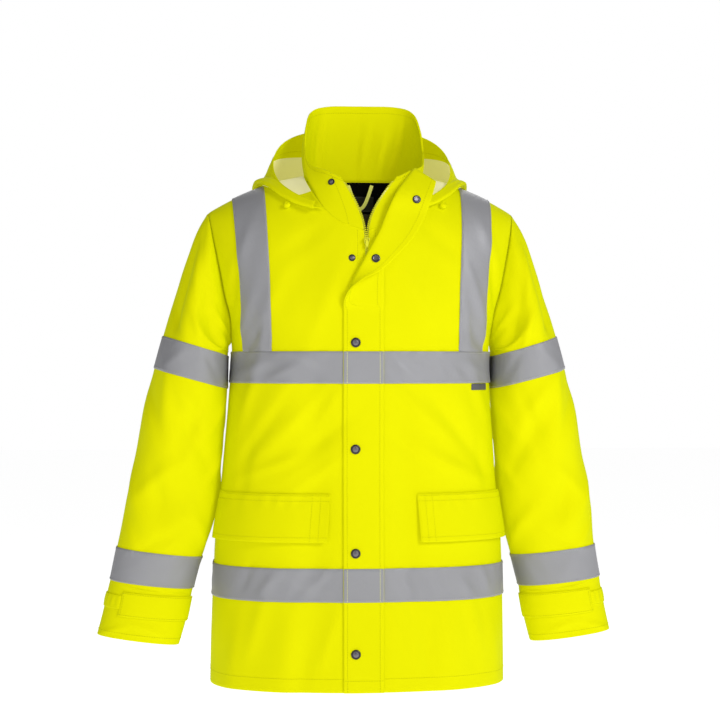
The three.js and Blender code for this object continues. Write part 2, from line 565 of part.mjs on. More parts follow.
function sleeveFold(v, angle) {
  return SLEEVE_FOLDS.reduce((total, fold) => {
    const round = (angle / degrees - fold.round) / fold.wide;
    const ring = (v - fold.ring - (round * fold.twist) / 60) / fold.tall;
    return total + fold.height * Math.exp(-round * round - ring * ring);
  }, 0);
}

function sleeveEntry(side, v, angle) {
  const step = 0.02;
  const base = sleevePoint(side, v, angle);
  const round = sleevePoint(side, v, angle + step).sub(sleevePoint(side, v, angle - step));
  const down = sleevePoint(side, v + step, angle).sub(sleevePoint(side, Math.max(v - step, 0), angle));
  const normal = round.cross(down).multiplyScalar(side);
  // the seam edge is cut square to the armhole
  if (v === 0) normal.setX(0);
  normal.normalize();
  return { point: base.addScaledVector(normal, sleeveFold(v, angle)), normal };
}

const sleeveGrid = (side) => SLEEVE_STEPS.map((v) => range(SLEEVE_SIDES).map((i) => (
  sleeveEntry(side, v, (i / SLEEVE_SIDES) * 2 * Math.PI))));

function addSleeve(side, word) {
  const grid = sleeveGrid(side);
  addWall(`sleeve_${word}`, moved(grid, 0), moved(grid, -CLOTH), YELLOW, true);
  const band = (name, from, to) => {
    const rows = grid.slice(SLEEVE_STEPS.indexOf(from), SLEEVE_STEPS.indexOf(to) + 1);
    addWall(name, moved(rows, GAP + TAPE), moved(rows, GAP), SILVER, true);
  };
  band(`upper_sleeve_tape_${word}`, RING.bandTop, RING.bandBottom);
  band(`lower_sleeve_tape_${word}`, RING.lowBandTop, RING.lowBandBottom);
  addCuffTab(grid, word);
}

// Cuff tab on the front from the inner side, and the narrower strap round the outer side behind it
function addCuffTab(grid, word) {
  const top = SLEEVE_STEPS.indexOf(RING.tabTop);
  const [first, last] = CUFF_TAB_SIDES;
  const tab = grid.slice(top, top + 2).map((row) => row.slice(first, last + 1));
  addWall(`cuff_tab_${word}`, moved(tab, GAP + CUFF_TAB_WALL), moved(tab, GAP), YELLOW);
  const between = (i, share) => grid[top][i].point.clone().lerp(grid[top + 1][i].point, share);
  const strap = CUFF_STRAP_SHARES.map((share) => CUFF_STRAP_SIDES.map((i) => {
    const point = between(i, share);
    if (i === first) {
      // the strap ends just short of the tab
      const before = between(i - 1, share);
      point.lerp(before, 2 * GAP / point.distanceTo(before));
    }
    const normal = grid[top][i].normal.clone().lerp(grid[top + 1][i].normal, share).normalize();
    return { point, normal };
  }));
  addWall(`cuff_strap_${word}`, moved(strap, GAP + CUFF_STRAP_WALL), moved(strap, GAP), YELLOW);
}

// Collar

// Point of the neckline at a distance from the centre, on the straight runs of the panels' top edges
function edgePoint(face, side, distance) {
  const grids = { front: side < 0 ? frontRight : frontLeft, back: side < 0 ? backRight : backLeft };
  const edge = grids[face][ROWS - 1].map(({ point }) => point);
  let i = 0;
  const last = face === 'front' ? FRONT_COUNTS[0] : BACK_COUNTS[0];
  while (i < last - 1 && Math.abs(edge[i + 1].x) < distance) i += 1;
  const share = (distance - Math.abs(edge[i].x)) / (Math.abs(edge[i + 1].x) - Math.abs(edge[i].x));
  return edge[i].clone().lerp(edge[i + 1], Math.min(Math.max(share, 0), 1));
}

// Foot and top of the collar at a signed station: -1 front right, 0 centre back, 1 front left
function collarEnds(station) {
  const side = station < 0 ? -1 : 1;
  const at = 1 - Math.abs(station);
  const footX = along(COLLAR, 'at', at, 'footX');
  const face = at < 0.5 ? 'front' : 'back';
  const foot = edgePoint(face, side, footX);
  const top = vec(side * along(COLLAR, 'at', at, 'topX'), along(COLLAR, 'at', at, 'topY'),
    along(COLLAR, 'at', at, 'topZ'));
  top.x += COLLAR_SHIFT;
  return { foot, top };
}

function collarPoint(station, rise) {
  const { foot, top } = collarEnds(station);
  const outward = vec(foot.x + top.x, foot.y + top.y, 0).normalize();
  const start = foot.clone().add(vec(0, 0, 3 * GAP));
  const nearEnd = Math.max(0, 1 - (1 - Math.abs(station)) / COLLAR_FLARE.reach);
  const flared = rise ** (1 + COLLAR_FLARE.power * nearEnd);
  const point = start.clone().lerp(top, rise);
  point.x = mix(start.x, top.x, flared);
  return point.addScaledVector(outward, COLLAR_BULGE * Math.sin(Math.PI * rise) * (1 - nearEnd));
}

function collarEntry(station, rise) {
  const step = 0.01;
  const wide = collarPoint(Math.min(station + step, 1), rise)
    .sub(collarPoint(Math.max(station - step, -1), rise));
  const tall = collarPoint(station, Math.min(rise + step, 1))
    .sub(collarPoint(station, Math.max(rise - step, 0)));
  return { point: collarPoint(station, rise), normal: tall.cross(wide).normalize() };
}

function addCollar() {
  const grid = range(COLLAR_RISES + 1).map((r) => range(COLLAR_STATIONS + 1).map((c) => (
    collarEntry((2 * c) / COLLAR_STATIONS - 1, r / COLLAR_RISES))));
  const inner = moved(grid, -COLLAR_WALL);
  // the foot of the inner face stays level with the outer one, clear of the body's edge
  inner[0].forEach((point, c) => { point.z = Math.max(point.z, grid[0][c].point.z); });
  addWall('collar', moved(grid, 0), inner, YELLOW);
}

// Hood

// Pushes a point out until it is the given distance clear of the body's round at the same x
function clearOfBody(point, clearance) {
  const face = point.y < 0 ? 'front' : 'back';
  const top = ridge(point.x) - GAP;
  range(SEAT_PASSES).forEach(() => {
    const skins = range(SEAT_SAMPLES + 1).map((i) => {
      const rise = Math.sin((i / SEAT_SAMPLES) * Math.PI / 2) ** (2 / SECTION_POWER);
      return torso(face, point.x, mix(ROUND_START, top, rise));
    });
    const far = (skin) => point.distanceTo(skin.point);
    const nearest = skins.reduce((best, skin) => (far(skin) < far(best) ? skin : best));
    const near = point.clone().sub(nearest.point).dot(nearest.normal);
    if (near < clearance) point.addScaledVector(nearest.normal, clearance - near);
  });
  return point;
}

// How far the hood's ends have opened into the bag at a station
function bagShare(station) {
  const [from, to] = BAG_STARTS;
  return Math.min(Math.max((1 - Math.abs(station) - from) / (to - from), 0), 1);
}

// Angle of the turn at a share of the run: 0 on the outer layer, half a round on the inner one
const turnAngle = (run) => Math.PI * Math.min(Math.max((run - TURN[0]) / (TURN[1] - TURN[0]), 0), 1);

function hoodClearance(station, run) {
  const share = bagShare(station);
  const outer = mix(END_CLEAR.outer, BAG_CLEAR.outer, share);
  const inner = mix(END_CLEAR.inner, BAG_CLEAR.inner, share);
  if (run > TURN[1]) return mix(inner, HOOD_SEAT, (run - TURN[1]) / (1 - TURN[1]));
  return mix(inner, outer, (1 + Math.cos(turnAngle(run))) / 2);
}

// Outer layer from the rim down to the turn, round it, and the inner layer back up to the neck seam
function hoodPoint(station, run) {
  const side = station < 0 ? -1 : 1;
  const at = Math.max(1 - Math.abs(station), HOOD[0].at);
  const read = (column) => along(HOOD, 'at', at, column);
  const rim = vec(side * read('rimX') + HOOD_SHIFT * at, read('rimY'), read('rimZ'));
  const footX = read('footX');
  const face = at < 0.5 ? 'front' : 'back';
  const { point: seam, normal } = torso(face, side * footX, topEdge(face, footX));
  const outward = vec(rim.x, rim.y, 0).normalize();
  const foot = seam.clone().addScaledVector(outward, COLLAR_WALL).addScaledVector(normal, HOOD_SEAT);
  const turn = rim.clone().addScaledVector(outward, read('turnOut')).add(vec(0, 0, -read('turnDown')));
  const fall = Math.min(run / TURN[0], 1);
  const back = Math.max((run - TURN[1]) / (1 - TURN[1]), 0);
  const clearance = hoodClearance(station, run);
  const round = (hoodClearance(station, 0) - hoodClearance(station, TURN[1])) / 2;
  const under = torso(turn.y < 0 ? 'front' : 'back', turn.x, Math.min(turn.z, ridge(turn.x) - TURN_UNDER));
  const ahead = turn.clone().sub(rim).normalize();
  const point = rim.lerp(turn, fall).lerp(foot, back)
    .addScaledVector(outward, read('belly') * Math.sin(Math.PI * fall))
    .addScaledVector(ahead, round * Math.sin(turnAngle(run)))
    .addScaledVector(under.normal, (clearance - hoodClearance(station, 0)) * (1 - back));
  return clearOfBody(point, clearance);
}

// Stations to the ends of the hood, with the bag's kinks over the shoulders eased out
function hoodGrid() {
  const reach = 1 - HOOD[0].at;
  const stations = range(HOOD_STATIONS + 1).map((c) => mix(-reach, reach, c / HOOD_STATIONS));
  let grid = HOOD_RUNS.map((run) => stations.map((station) => hoodPoint(station, run)));
  range(HOOD_EASING).forEach(() => {
    grid = grid.map((row, r) => row.map((point, c) => {
      if (r === HOOD_RUNS.length - 1 || c === 0 || c === HOOD_STATIONS) return point;
      const beside = row[c - 1].clone().add(row[c + 1]);
      const eased = point.clone().lerp(beside.multiplyScalar(0.5), 0.5);
      return clearOfBody(eased, hoodClearance(stations[c], HOOD_RUNS[r]));
    }));
  });
  return grid.map((row, r) => row.map((point, c) => ({ point, normal: gridNormal(grid, r, c) })));
}

function addHood() {
  const grid = hoodGrid();
  addWall('hood', moved(grid, 0), moved(grid, -HOOD_WALL), YELLOW);
  const lined = grid.slice(LINING_RUNS[0], LINING_RUNS[1] + 1)
    .map((row) => row.slice(LINING_START, HOOD_STATIONS + 1 - LINING_START));
  const behind = -HOOD_WALL - LINING_GAP;
  addWall('hood_lining', moved(lined, behind), moved(lined, behind - LINING), CREAM);
}

// Storm flap

// Front surface at x and z moved out; its height stays that of the row
function onFront(x, z, out) {
  const { point, normal } = torso('front', x, z);
  return point.addScaledVector(normal, out);
}

const flapX = (c) => mix(FLAP_SEAM, FLAP_FREE, c / (FLAP_COLUMNS - 1));
const flatRow = (z, out) => range(FLAP_COLUMNS).map((c) => onFront(flapX(c), z, out));

// A rolled row: two points to the fold, the roll, then two out to the free edge
function lapelRow(row) {
  const root = onFront(row.rootX, row.rootZ, FLAP_OFF + row.off * LAPEL_RISE.root);
  const foldIn = onFront(row.foldX, row.foldZ, FLAP_OFF + row.off * LAPEL_RISE.fold);
  const foldOut = foldIn.clone().add(vec(row.turn, -row.roll, 0));
  const free = onFront(row.freeX, row.freeZ, row.out);
  return [root, root.clone().lerp(foldIn, 0.5), foldIn, foldOut, foldOut.clone().lerp(free, 0.5), free];
}

function gridNormal(grid, r, c) {
  const within = (i, count) => Math.min(Math.max(i, 0), count - 1);
  const at = (i, j) => grid[within(i, grid.length)][within(j, grid[0].length)];
  const wide = at(r, c + 1).clone().sub(at(r, c - 1));
  const tall = at(r + 1, c).clone().sub(at(r - 1, c));
  return wide.cross(tall).normalize();
}

function addFlap() {
  const under = [...FLAP_ROWS.map((z) => flatRow(z, FLAP_OFF)), ...LAPEL.map(lapelRow)];
  const over = under.map((row, r) => row.map((point, c) => (
    r < FLAP_ROWS.length - 1 ? onFront(flapX(c), FLAP_ROWS[r], FLAP_OFF + FLAP_WALL)
      : point.clone().addScaledVector(gridNormal(under, r, c), -FLAP_WALL))));
  addWall('storm_flap', over, under, YELLOW);
  const bands = [['chest', CHEST_BAND], ['hem', HEM_BAND]];
  const seat = FLAP_OFF + FLAP_WALL + GAP;
  bands.forEach(([name, [low, high]]) => {
    addWall(`${name}_tape_flap`, [low, high].map((z) => flatRow(z, seat + TAPE)),
      [low, high].map((z) => flatRow(z, seat)), SILVER);
  });
}

// Pockets and labels

function addPockets() {
  POCKETS.forEach(({ node, side, from }) => {
    const grid = side < 0 ? frontRight : frontLeft;
    const low = rowOf(POCKET_BOTTOM);
    const high = rowOf(POCKET_TOP);
    const rows = grid.slice(low, high + 1).map((row, r) => {
      const share = 1 - r / (high - low);
      const start = from + POCKET_SLANT * share;
      const last = Math.abs(row[POCKET_SKIP + POCKET_COLUMNS].point.x);
      const place = (entry, c) => {
        if (c > POCKET_COLUMNS) return entry;
        return torso('front', side * mix(start, last, c / POCKET_COLUMNS), entry.point.z);
      };
      const lift = GAP + POCKET_LIFT * share;
      return row.slice(POCKET_SKIP, FRONT_LAST).map(place).map((entry) => ({ ...entry, lift }));
    });
    const out = (extra) => rows.map((row) => row.map(({ point, normal, lift }) => (
      point.clone().addScaledVector(normal, lift + extra))));
    addWall(node, out(POCKET_WALL), out(0), YELLOW);
  });
}

function addSideLabel() {
  const { from, to, low, high, lift, thick, columns } = SIDE_LABEL;
  const face = (out) => [low, high].map((z) => (
    range(columns + 1).map((i) => onFront(mix(from, to, i / columns), z, out))));
  addWall('side_label', face(lift + thick), face(lift), MESH_GREY);
}

// Neck label and hanger loop, inside the back of the neck

function insideBack(x, z, out) {
  const { point, normal } = torso('back', x, z);
  return point.addScaledVector(normal, -out);
}

function addNeckPieces() {
  const inner = CLOTH + GAP + LINING;
  const { half, low, high, lift, thick, columns, rows } = NECK_LABEL;
  const face = (out) => range(rows + 1).map((r) => range(columns + 1).map((c) => (
    insideBack(mix(-half, half, c / columns) + COLLAR_SHIFT, mix(low, high, r / rows), inner + out))));
  addWall('neck_label', face(lift + thick), face(lift), BLACK);
  // the loop is sewn at both ends and hangs in a curve
  const path = range(LOOP.steps + 1).map((i) => {
    const round = Math.sin(Math.PI * (i / LOOP.steps));
    const point = insideBack(mix(LOOP.left, LOOP.right, i / LOOP.steps), LOOP.top, inner + LOOP.lift);
    return point.add(vec(0, -LOOP.bow * round, -LOOP.drop * round));
  });
  const strip = (out) => path.map((point, i) => {
    const next = path[Math.min(i + 1, LOOP.steps)].clone().sub(path[Math.max(i - 1, 0)]).normalize();
    const across = next.cross(vec(0, -1, 0)).normalize();
    const place = (share) => point.clone().addScaledVector(across, share * LOOP.width).add(vec(0, -out, 0));
    return [place(-0.5), place(0.5)];
  });
  addWall('hanger_loop', strip(LOOP.thick), strip(0), PALE_YELLOW);
}

// Zip: a tape behind each front's edge, up the opened edges of the collar, a slider and a pull

function addZipTape(side, word) {
  const behind = CLOTH + 2 * GAP;
  const rows = (out) => ZIP_ROWS.map((z) => [GAP, ZIP_HALF, ZIP_TAPE_WIDTH].map((x) => (
    onFront(side * x, z, -behind - out))));
  addWall(`zip_tape_${word}`, rows(0), rows(LINING), YELLOW);
}

// Solid of a closed geometry, ready to be joined to others
function solidOf(geometry) {
  const plain = geometry.index ? geometry.toNonIndexed() : geometry;
  const position = plain.attributes.position;
  const keys = new Map();
  const vertices = [];
  const index = range(position.count).map((i) => {
    const point = [position.getX(i), position.getY(i), position.getZ(i)];
    const key = point.map((value) => Math.round(value * 1e4)).join(' ');
    if (!keys.has(key)) {
      keys.set(key, vertices.length / 3);
      vertices.push(...point);
    }
    return keys.get(key);
  });
  const faces = range(index.length / 3).map((i) => index.slice(3 * i, 3 * i + 3))
    .filter(([a, b, c]) => a !== b && b !== c && a !== c);
  return new wasm.Manifold(new wasm.Mesh({
    numProp: 3, vertProperties: new Float32Array(vertices), triVerts: new Uint32Array(faces.flat()),
  }));
}

function addSolid(name, solid, finish, place) {
  const data = solid.getMesh();
  const points = range(data.vertProperties.length / 3).map((i) => (
    vec(...data.vertProperties.slice(3 * i, 3 * i + 3)).add(place)));
  const faces = range(data.triVerts.length / 3).map((i) => [...data.triVerts.slice(3 * i, 3 * i + 3)]);
  return addMesh(name, points, faces, finish);
}

const boxAt = (width, depth, height, place) => (
  new THREE.BoxGeometry(width, depth, height).translate(place.x, place.y, place.z));

function addZipFittings() {
  const face = -SLIDER.depth / 2;
  const wide = SLIDER.width / 2;
  const neck = SLIDER.neck / 2;
  const tall = SLIDER.height / 2;
  const corners = [
    [-neck, -tall], [neck, -tall], [wide, SLIDER.shoulder],
    [wide, tall], [-wide, tall], [-wide, SLIDER.shoulder],
  ];
  const outline = new THREE.Shape(corners.map(([x, y]) => new THREE.Vector2(x, y)));
  const plate = new THREE.ExtrudeGeometry(outline, { depth: SLIDER.depth, bevelEnabled: false })
    .rotateX(Math.PI / 2).translate(0, -face, 0);
  const hinge = vec(0, face - SLIDER.hingeOut, SLIDER.hingeUp);
  const ears = [-1, 1].map((side) => boxAt(SLIDER.ear, 2 * SLIDER.hingeOut, 2 * SLIDER.hingeUp,
    vec(side * (PULL.width / 2 + 1), face - SLIDER.hingeOut + SLIDER.earIn, SLIDER.hingeUp)));
  const body = ears.reduce((solid, ear) => solid.add(solidOf(ear)), solidOf(plate));
  const place = onFront(0, SLIDER_HEIGHT, 0).add(vec(0, face - SLIDER.standOff, 0));
  addSolid('zip_slider', body, SLIDER_FINISH, place);
  // the pull turns on a barrel between the ears
  const barrel = new THREE.CylinderGeometry(PULL.barrel, PULL.barrel, PULL.width / 2 + 0.5, PULL.sides)
    .rotateZ(Math.PI / 2).translate(hinge.x, hinge.y, hinge.z);
  const below = (distance) => hinge.clone().add(vec(0, 0, -distance));
  const tab = boxAt(PULL.neck, PULL.thick, PULL.length, below(PULL.length / 2));
  const end = boxAt(PULL.width, PULL.thick, PULL.length / 2, below(PULL.length * 0.75));
  const pull = solidOf(barrel).add(solidOf(tab)).add(solidOf(end));
  addSolid('zip_pull', pull, SLIDER_FINISH, place);
}

// Snaps and toggles

function addLathe(name, profile, sides, seat, normal, finish) {
  const lathe = new THREE.LatheGeometry(profile.map(([x, y]) => new THREE.Vector2(x, y)), sides);
  const mesh = new THREE.Mesh(lathe, new THREE.MeshStandardMaterial({ ...finish, flatShading: true }));
  mesh.name = name;
  mesh.position.copy(seat);
  mesh.quaternion.setFromUnitVectors(vec(0, 1, 0), normal);
  jacket.add(mesh);
}

// Place on the visible underside of the rolled flap, by row and share of the way from fold to edge
function onLapel(rowNumber, share) {
  const low = lapelRow(LAPEL[Math.floor(rowNumber)]);
  const high = lapelRow(LAPEL[Math.floor(rowNumber) + 1]);
  const t = rowNumber % 1;
  const at = (row) => row[3].clone().lerp(row[5], share);
  const across = low[5].clone().sub(low[3]).add(high[5]).sub(high[3]);
  const normal = across.cross(at(high).sub(at(low))).normalize();
  return { point: at(low).lerp(at(high), t), normal: normal.y > 0 ? normal.negate() : normal };
}

function addSnaps() {
  const seat = FLAP_OFF + FLAP_WALL + 1.5 * GAP;
  SNAP_HEIGHTS.forEach((z, i) => {
    const { point, normal } = torso('front', SNAP_X, z);
    point.addScaledVector(normal, seat);
    addLathe(`snap_cap_${i + 1}`, CAP_PROFILE, SNAP_SIDES, point, normal, GUNMETAL);
  });
  const lift = 1.7 * GAP;
  const fixed = [
    ['snap_stud_lower', STUD_PROFILE, torso('front', LOWER_STUD.x, LOWER_STUD.z)],
    ['snap_stud_upper', STUD_PROFILE, collarEntry(UPPER_STUD.station, UPPER_STUD.rise)],
    ['snap_socket_lower', SOCKET_PROFILE, onLapel(LOWER_SOCKET.row, LOWER_SOCKET.share)],
    ['snap_socket_upper', SOCKET_PROFILE, onLapel(UPPER_SOCKET.row, UPPER_SOCKET.share)],
  ];
  fixed.forEach(([name, profile, { point, normal }]) => (
    addLathe(name, profile, SNAP_SIDES, point.addScaledVector(normal, lift), normal, GUNMETAL)));
}

function addToggles() {
  [[-1, 'right'], [1, 'left']].forEach(([side, word]) => {
    const rim = hoodPoint(side * TOGGLE.station, 0);
    const { normal } = torso('front', rim.x, Math.min(rim.z, ridge(rim.x) - TOGGLE.under));
    const seat = clearOfBody(rim.clone().add(vec(0, 0, -TOGGLE.down)), TOGGLE.out);
    addLathe(`hood_toggle_${word}`, TOGGLE_PROFILE, TOGGLE_SIDES, seat, normal, YELLOW);
  });
}

addBody();
addBodyTapes();
addLining();
addSleeve(-1, 'right');
addSleeve(1, 'left');
addCollar();
addHood();
addFlap();
addPockets();
addSideLabel();
addNeckPieces();
addZipTape(-1, 'right');
addZipTape(1, 'left');
addZipFittings();
addSnaps();
addToggles();

export default jacket;
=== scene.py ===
"""Blender looks of the hi-vis work jacket: creased cloth, tape, sewing, zip, snaps and the neck lining.

The surfaces are worked out in millimetres with heights above the hem and then lowered to the part's frame.
"""

import json
import logging
import math
from dataclasses import dataclass, field
from enum import Enum
from typing import Optional, Sequence

import bpy
import numpy as np
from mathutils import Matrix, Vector

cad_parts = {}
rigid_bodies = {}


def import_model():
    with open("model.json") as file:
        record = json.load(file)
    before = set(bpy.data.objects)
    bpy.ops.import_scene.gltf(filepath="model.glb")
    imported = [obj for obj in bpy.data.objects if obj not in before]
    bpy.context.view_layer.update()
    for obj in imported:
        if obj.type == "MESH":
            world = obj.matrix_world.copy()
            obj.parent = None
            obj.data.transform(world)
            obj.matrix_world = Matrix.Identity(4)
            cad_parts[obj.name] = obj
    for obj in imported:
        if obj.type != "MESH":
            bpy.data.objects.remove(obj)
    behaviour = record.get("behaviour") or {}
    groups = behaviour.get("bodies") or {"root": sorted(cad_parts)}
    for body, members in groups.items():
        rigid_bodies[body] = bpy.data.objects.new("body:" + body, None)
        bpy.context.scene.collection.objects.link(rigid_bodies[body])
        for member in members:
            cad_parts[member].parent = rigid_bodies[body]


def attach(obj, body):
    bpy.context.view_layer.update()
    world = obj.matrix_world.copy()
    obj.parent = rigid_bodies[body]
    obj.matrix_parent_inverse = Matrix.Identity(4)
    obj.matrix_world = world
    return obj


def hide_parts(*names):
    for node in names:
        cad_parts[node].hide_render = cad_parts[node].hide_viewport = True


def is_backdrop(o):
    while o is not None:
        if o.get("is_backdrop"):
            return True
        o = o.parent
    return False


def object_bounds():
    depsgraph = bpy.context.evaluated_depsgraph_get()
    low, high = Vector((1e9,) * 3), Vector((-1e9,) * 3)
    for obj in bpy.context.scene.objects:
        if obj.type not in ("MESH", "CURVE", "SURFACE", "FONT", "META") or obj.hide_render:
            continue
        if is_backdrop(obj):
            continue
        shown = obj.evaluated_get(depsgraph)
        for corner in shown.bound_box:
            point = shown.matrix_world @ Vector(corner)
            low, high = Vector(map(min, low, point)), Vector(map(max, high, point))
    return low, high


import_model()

LOG = logging.getLogger("jacket")
BOUNDS_AT_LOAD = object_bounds()

MM = 0.001
NECK_POINT = 806.0
ARMPIT = 540.0
SHOULDER_POINT = 748.5
CLOTH = 2.0
GAP = 0.3
TAPE = 0.8
LINING = 1.2
SECTION_POWER = 2.4
SLEEVE_POWER = 2.2
ROUND_START = 560.0
THINNEST = 0.002
SEAM_SHARE = 0.02
NECK_HALF = 90.0
RIDGE_LEAN = 0.42
PANEL_BACK = 0.15
FOLD_FADE = 1.6
FINE = 1  # grid lines are this many times further apart in a quick try


class Table:
    """Rows of named columns, read smoothly between the rows by the first column."""

    def __init__(self, names: str, rows: Sequence[Sequence[float]]) -> None:
        """Keep the rows.

        Args:
            names: Column names, the key first.
            rows: One row of numbers for each place.
        """
        self.names = names.split()
        self.rows = np.array(rows, float)

    def column(self, name: str) -> np.ndarray:
        """All values of one column."""
        return self.rows[:, self.names.index(name)]

    def read(self, at: np.ndarray, name: str) -> np.ndarray:
        """Value of a column between rows: a cubic with slopes from the rows on each side.

        Args:
            at: Key values.
            name: Column to read.

        Returns:
            Values, held level past the first and last row.
        """
        x = self.rows[:, 0]
        y = self.column(name)
        at = np.clip(np.asarray(at, float), x[0], x[-1])
        i = np.clip(np.searchsorted(x, at, side="right") - 1, 0, len(x) - 2)
        before = np.maximum(np.arange(len(x)) - 1, 0)
        after = np.minimum(np.arange(len(x)) + 1, len(x) - 1)
        slope = (y[after] - y[before]) / (x[after] - x[before])
        span = x[i + 1] - x[i]
        t = (at - x[i]) / span
        rise = y[i + 1] - y[i]
        start = slope[i] * span
        end = slope[i + 1] * span
        return y[i] + t * (start + t * (3 * rise - 2 * start - end + t * (start + end - 2 * rise)))


TORSO = Table("z half front back shift", [
    (0, 236.5, 147, 150, -5.5), (75, 235.5, 145, 145, -5), (165, 233, 142, 139, -4),
    (250, 229, 139, 133, -3.5), (320, 221, 137, 128, -3), (380, 216, 137, 125, -2.5),
    (450, 211, 139, 124, -1.5), (540, 207.5, 142, 127, 0), (613, 227, 142, 131, 1),
    (705, 252, 140, 131, 2), (860, 290, 138, 128, 2),
])
SHOULDER = Table("x z", [
    (0, 852), (55, 836), (82, 813), (90, 806), (120, 799), (162, 788.5), (205, 770.5), (245, 748.5),
    (275, 729),
])
ARMHOLE = Table("z x", [(540, 207.5), (570, 210), (613, 219), (660, 228), (705, 237), (748.5, 245)])
NECK_FRONT = Table("x z", [(3, 714), (40, 729), (62, 747), (78, 772), (87, 794), (90, 806)])
NECK_BACK = Table("x z", [(0, 808), (55, 807), (82, 806.2), (90, 806)])
NECK_COLUMN = Table("z x", [(0, 70), (526, 80), (806, 90)])
BRACE_IN = Table("z x", [(0, 146), (526, 146), (806, 157)])
BRACE_OUT = Table("z x", [(0, 190), (526, 189), (771, 206)])
ZIP_EDGE = Table("z x", [(0, 3), (690, 3), (714, 4.5)])
CENTRE_LINE = Table("z x", [(0, 0), (806, 0)])
BODY_ROWS = (0, 70, 139, 190, 231, 268, 305, 360, 420, 477, 526, 540)
UPPER_ROWS = 8
ROW_EASE = 0.95
TABLE_TOP = 780.0
FRONT_COUNTS = (4, 2, 2, 4)
BACK_COUNTS = (3, 1, 2, 4)

# Soft folds of the body: centre, slope of the line in degrees, half length and width, height.
# The first rows are those of the solid; the rest are the photograph's smaller creases.
FRONT_FOLDS = Table("x z slope length width height", [
    (-150, 420, 62, 90, 22, 4), (-95, 345, 25, 70, 20, 3), (165, 420, -58, 90, 24, 4),
    (110, 360, -30, 70, 20, 3), (-120, 70, 80, 80, 26, 4), (130, 80, -82, 80, 28, 4),
    (-100, 650, 50, 70, 26, -3), (120, 655, -52, 70, 26, -3),
    (-82, 200, 88, 220, 26, -2.6), (-80, 430, 86, 90, 24, -1.8), (62, 250, -88, 260, 22, -1.6),
    (-182, 455, 72, 60, 9, 2.2), (-160, 400, 55, 75, 10, -2.0), (-112, 418, 48, 70, 12, 1.8),
    (-70, 388, 40, 60, 11, -1.4), (-140, 350, 22, 55, 9, 1.5), (-85, 330, 35, 45, 8, 1.2),
    (-190, 330, 80, 50, 10, -1.6), (-60, 440, 55, 45, 10, 1.1), (-175, 500, 28, 30, 9, 1.6),
    (-128, 495, 28, 24, 6, 1.1), (-91, 515, -31, 17, 5.5, 1.0), (-188, 500, -78, 30, 9, -1.1),
    (-192, 560, 74, 60, 9, 1.8),
    (-176, 540, 62, 34, 6, -1.2), (-160, 548, 85, 26, 6, 1.2), (-150, 600, 66, 60, 12, 1.2),
    (-60, 610, 68, 80, 16, 1.4), (-95, 700, 38, 50, 14, -1.4), (-190, 690, 70, 50, 10, 1.6),
    (-206, 620, 82, 60, 7, -2.0), (-170, 100, 74, 70, 12, 1.8), (-100, 45, 88, 50, 14, -1.6),
    (-60, 80, 70, 60, 12, 1.2), (-205, 50, 80, 60, 14, 2.0), (-150, 168, 52, 26, 7, 1.2),
    (-105, 160, 60, 24, 6, -1.0), (-75, 172, 45, 22, 6, 1.1), (-185, 175, 70, 24, 7, -1.1),
    (182, 455, -70, 60, 10, 2.2), (150, 395, -52, 80, 11, -2.0), (100, 420, -44, 70, 12, 1.7),
    (70, 370, -35, 55, 10, -1.3), (140, 345, -25, 55, 9, 1.5), (188, 350, -78, 60, 10, -1.6),
    (60, 450, -50, 45, 10, 1.0), (172, 500, -30, 30, 9, 1.2), (141, 492, -47, 18, 5.5, 1.0),
    (56, 496, -45, 22, 5.5, 1.1), (76, 508, -38, 16, 5.5, -0.8), (192, 560, -76, 55, 8, 1.8),
    (178, 545, -60, 36, 7, -1.5),
    (160, 575, -84, 40, 6, 1.3), (172, 625, -72, 50, 7, 1.4), (70, 620, -62, 80, 16, 1.4),
    (120, 700, -42, 55, 14, -1.5), (196, 700, -70, 50, 10, 1.8), (208, 630, -82, 60, 7, -2.0),
    (170, 105, -76, 70, 12, 1.8), (95, 60, -88, 60, 14, -1.6), (60, 95, -72, 55, 12, 1.1),
    (205, 60, -80, 60, 13, 2.0), (150, 165, -50, 26, 7, 1.2), (108, 172, -62, 24, 6, -1.1),
    (78, 160, -48, 22, 6, 1.1), (188, 170, -72, 24, 7, 1.1), (60, 172, -60, 20, 5, -0.9),
])
BACK_FOLDS = Table("x z slope length width height", [
    (-90, 400, 55, 100, 26, 5), (100, 380, -50, 100, 28, 5), (-130, 80, 84, 90, 30, 5),
    (20, 90, -86, 100, 32, 5), (150, 90, -80, 90, 30, 5),
    (-170, 440, 66, 80, 12, 2.4), (-130, 360, 48, 80, 12, -2.2), (-50, 430, 60, 70, 13, 1.8),
    (-30, 340, 35, 60, 11, 1.4), (-180, 330, 78, 60, 11, -1.8), (-100, 500, 30, 34, 8, 1.4),
    (-160, 560, 62, 60, 11, 1.8), (-60, 590, 74, 80, 16, 1.6), (-120, 640, 55, 70, 14, -1.8),
    (-195, 640, 82, 60, 8, 2.0), (-80, 60, 76, 70, 13, -1.8), (-190, 70, 82, 70, 14, 2.0),
    (-140, 170, 55, 26, 7, 1.2), (-70, 160, 62, 26, 7, -1.1), (0, 165, 70, 24, 7, 1.0),
    (176, 445, -64, 80, 12, 2.4), (125, 330, -45, 80, 12, -2.0), (45, 410, -58, 70, 13, 1.8),
    (185, 340, -78, 60, 11, -1.8), (105, 498, -34, 34, 8, 1.4), (150, 555, -60, 60, 11, 1.8),
    (60, 600, -72, 80, 16, -1.5), (115, 640, -52, 70, 14, 1.8), (195, 640, -82, 60, 8, 2.0),
    (90, 70, -78, 70, 13, -1.8), (195, 60, -82, 70, 14, 2.0), (140, 165, -58, 26, 7, 1.2),
    (75, 172, -62, 26, 7, -1.1), (0, 560, 88, 60, 12, 1.2), (15, 300, -80, 60, 14, 1.4),
])

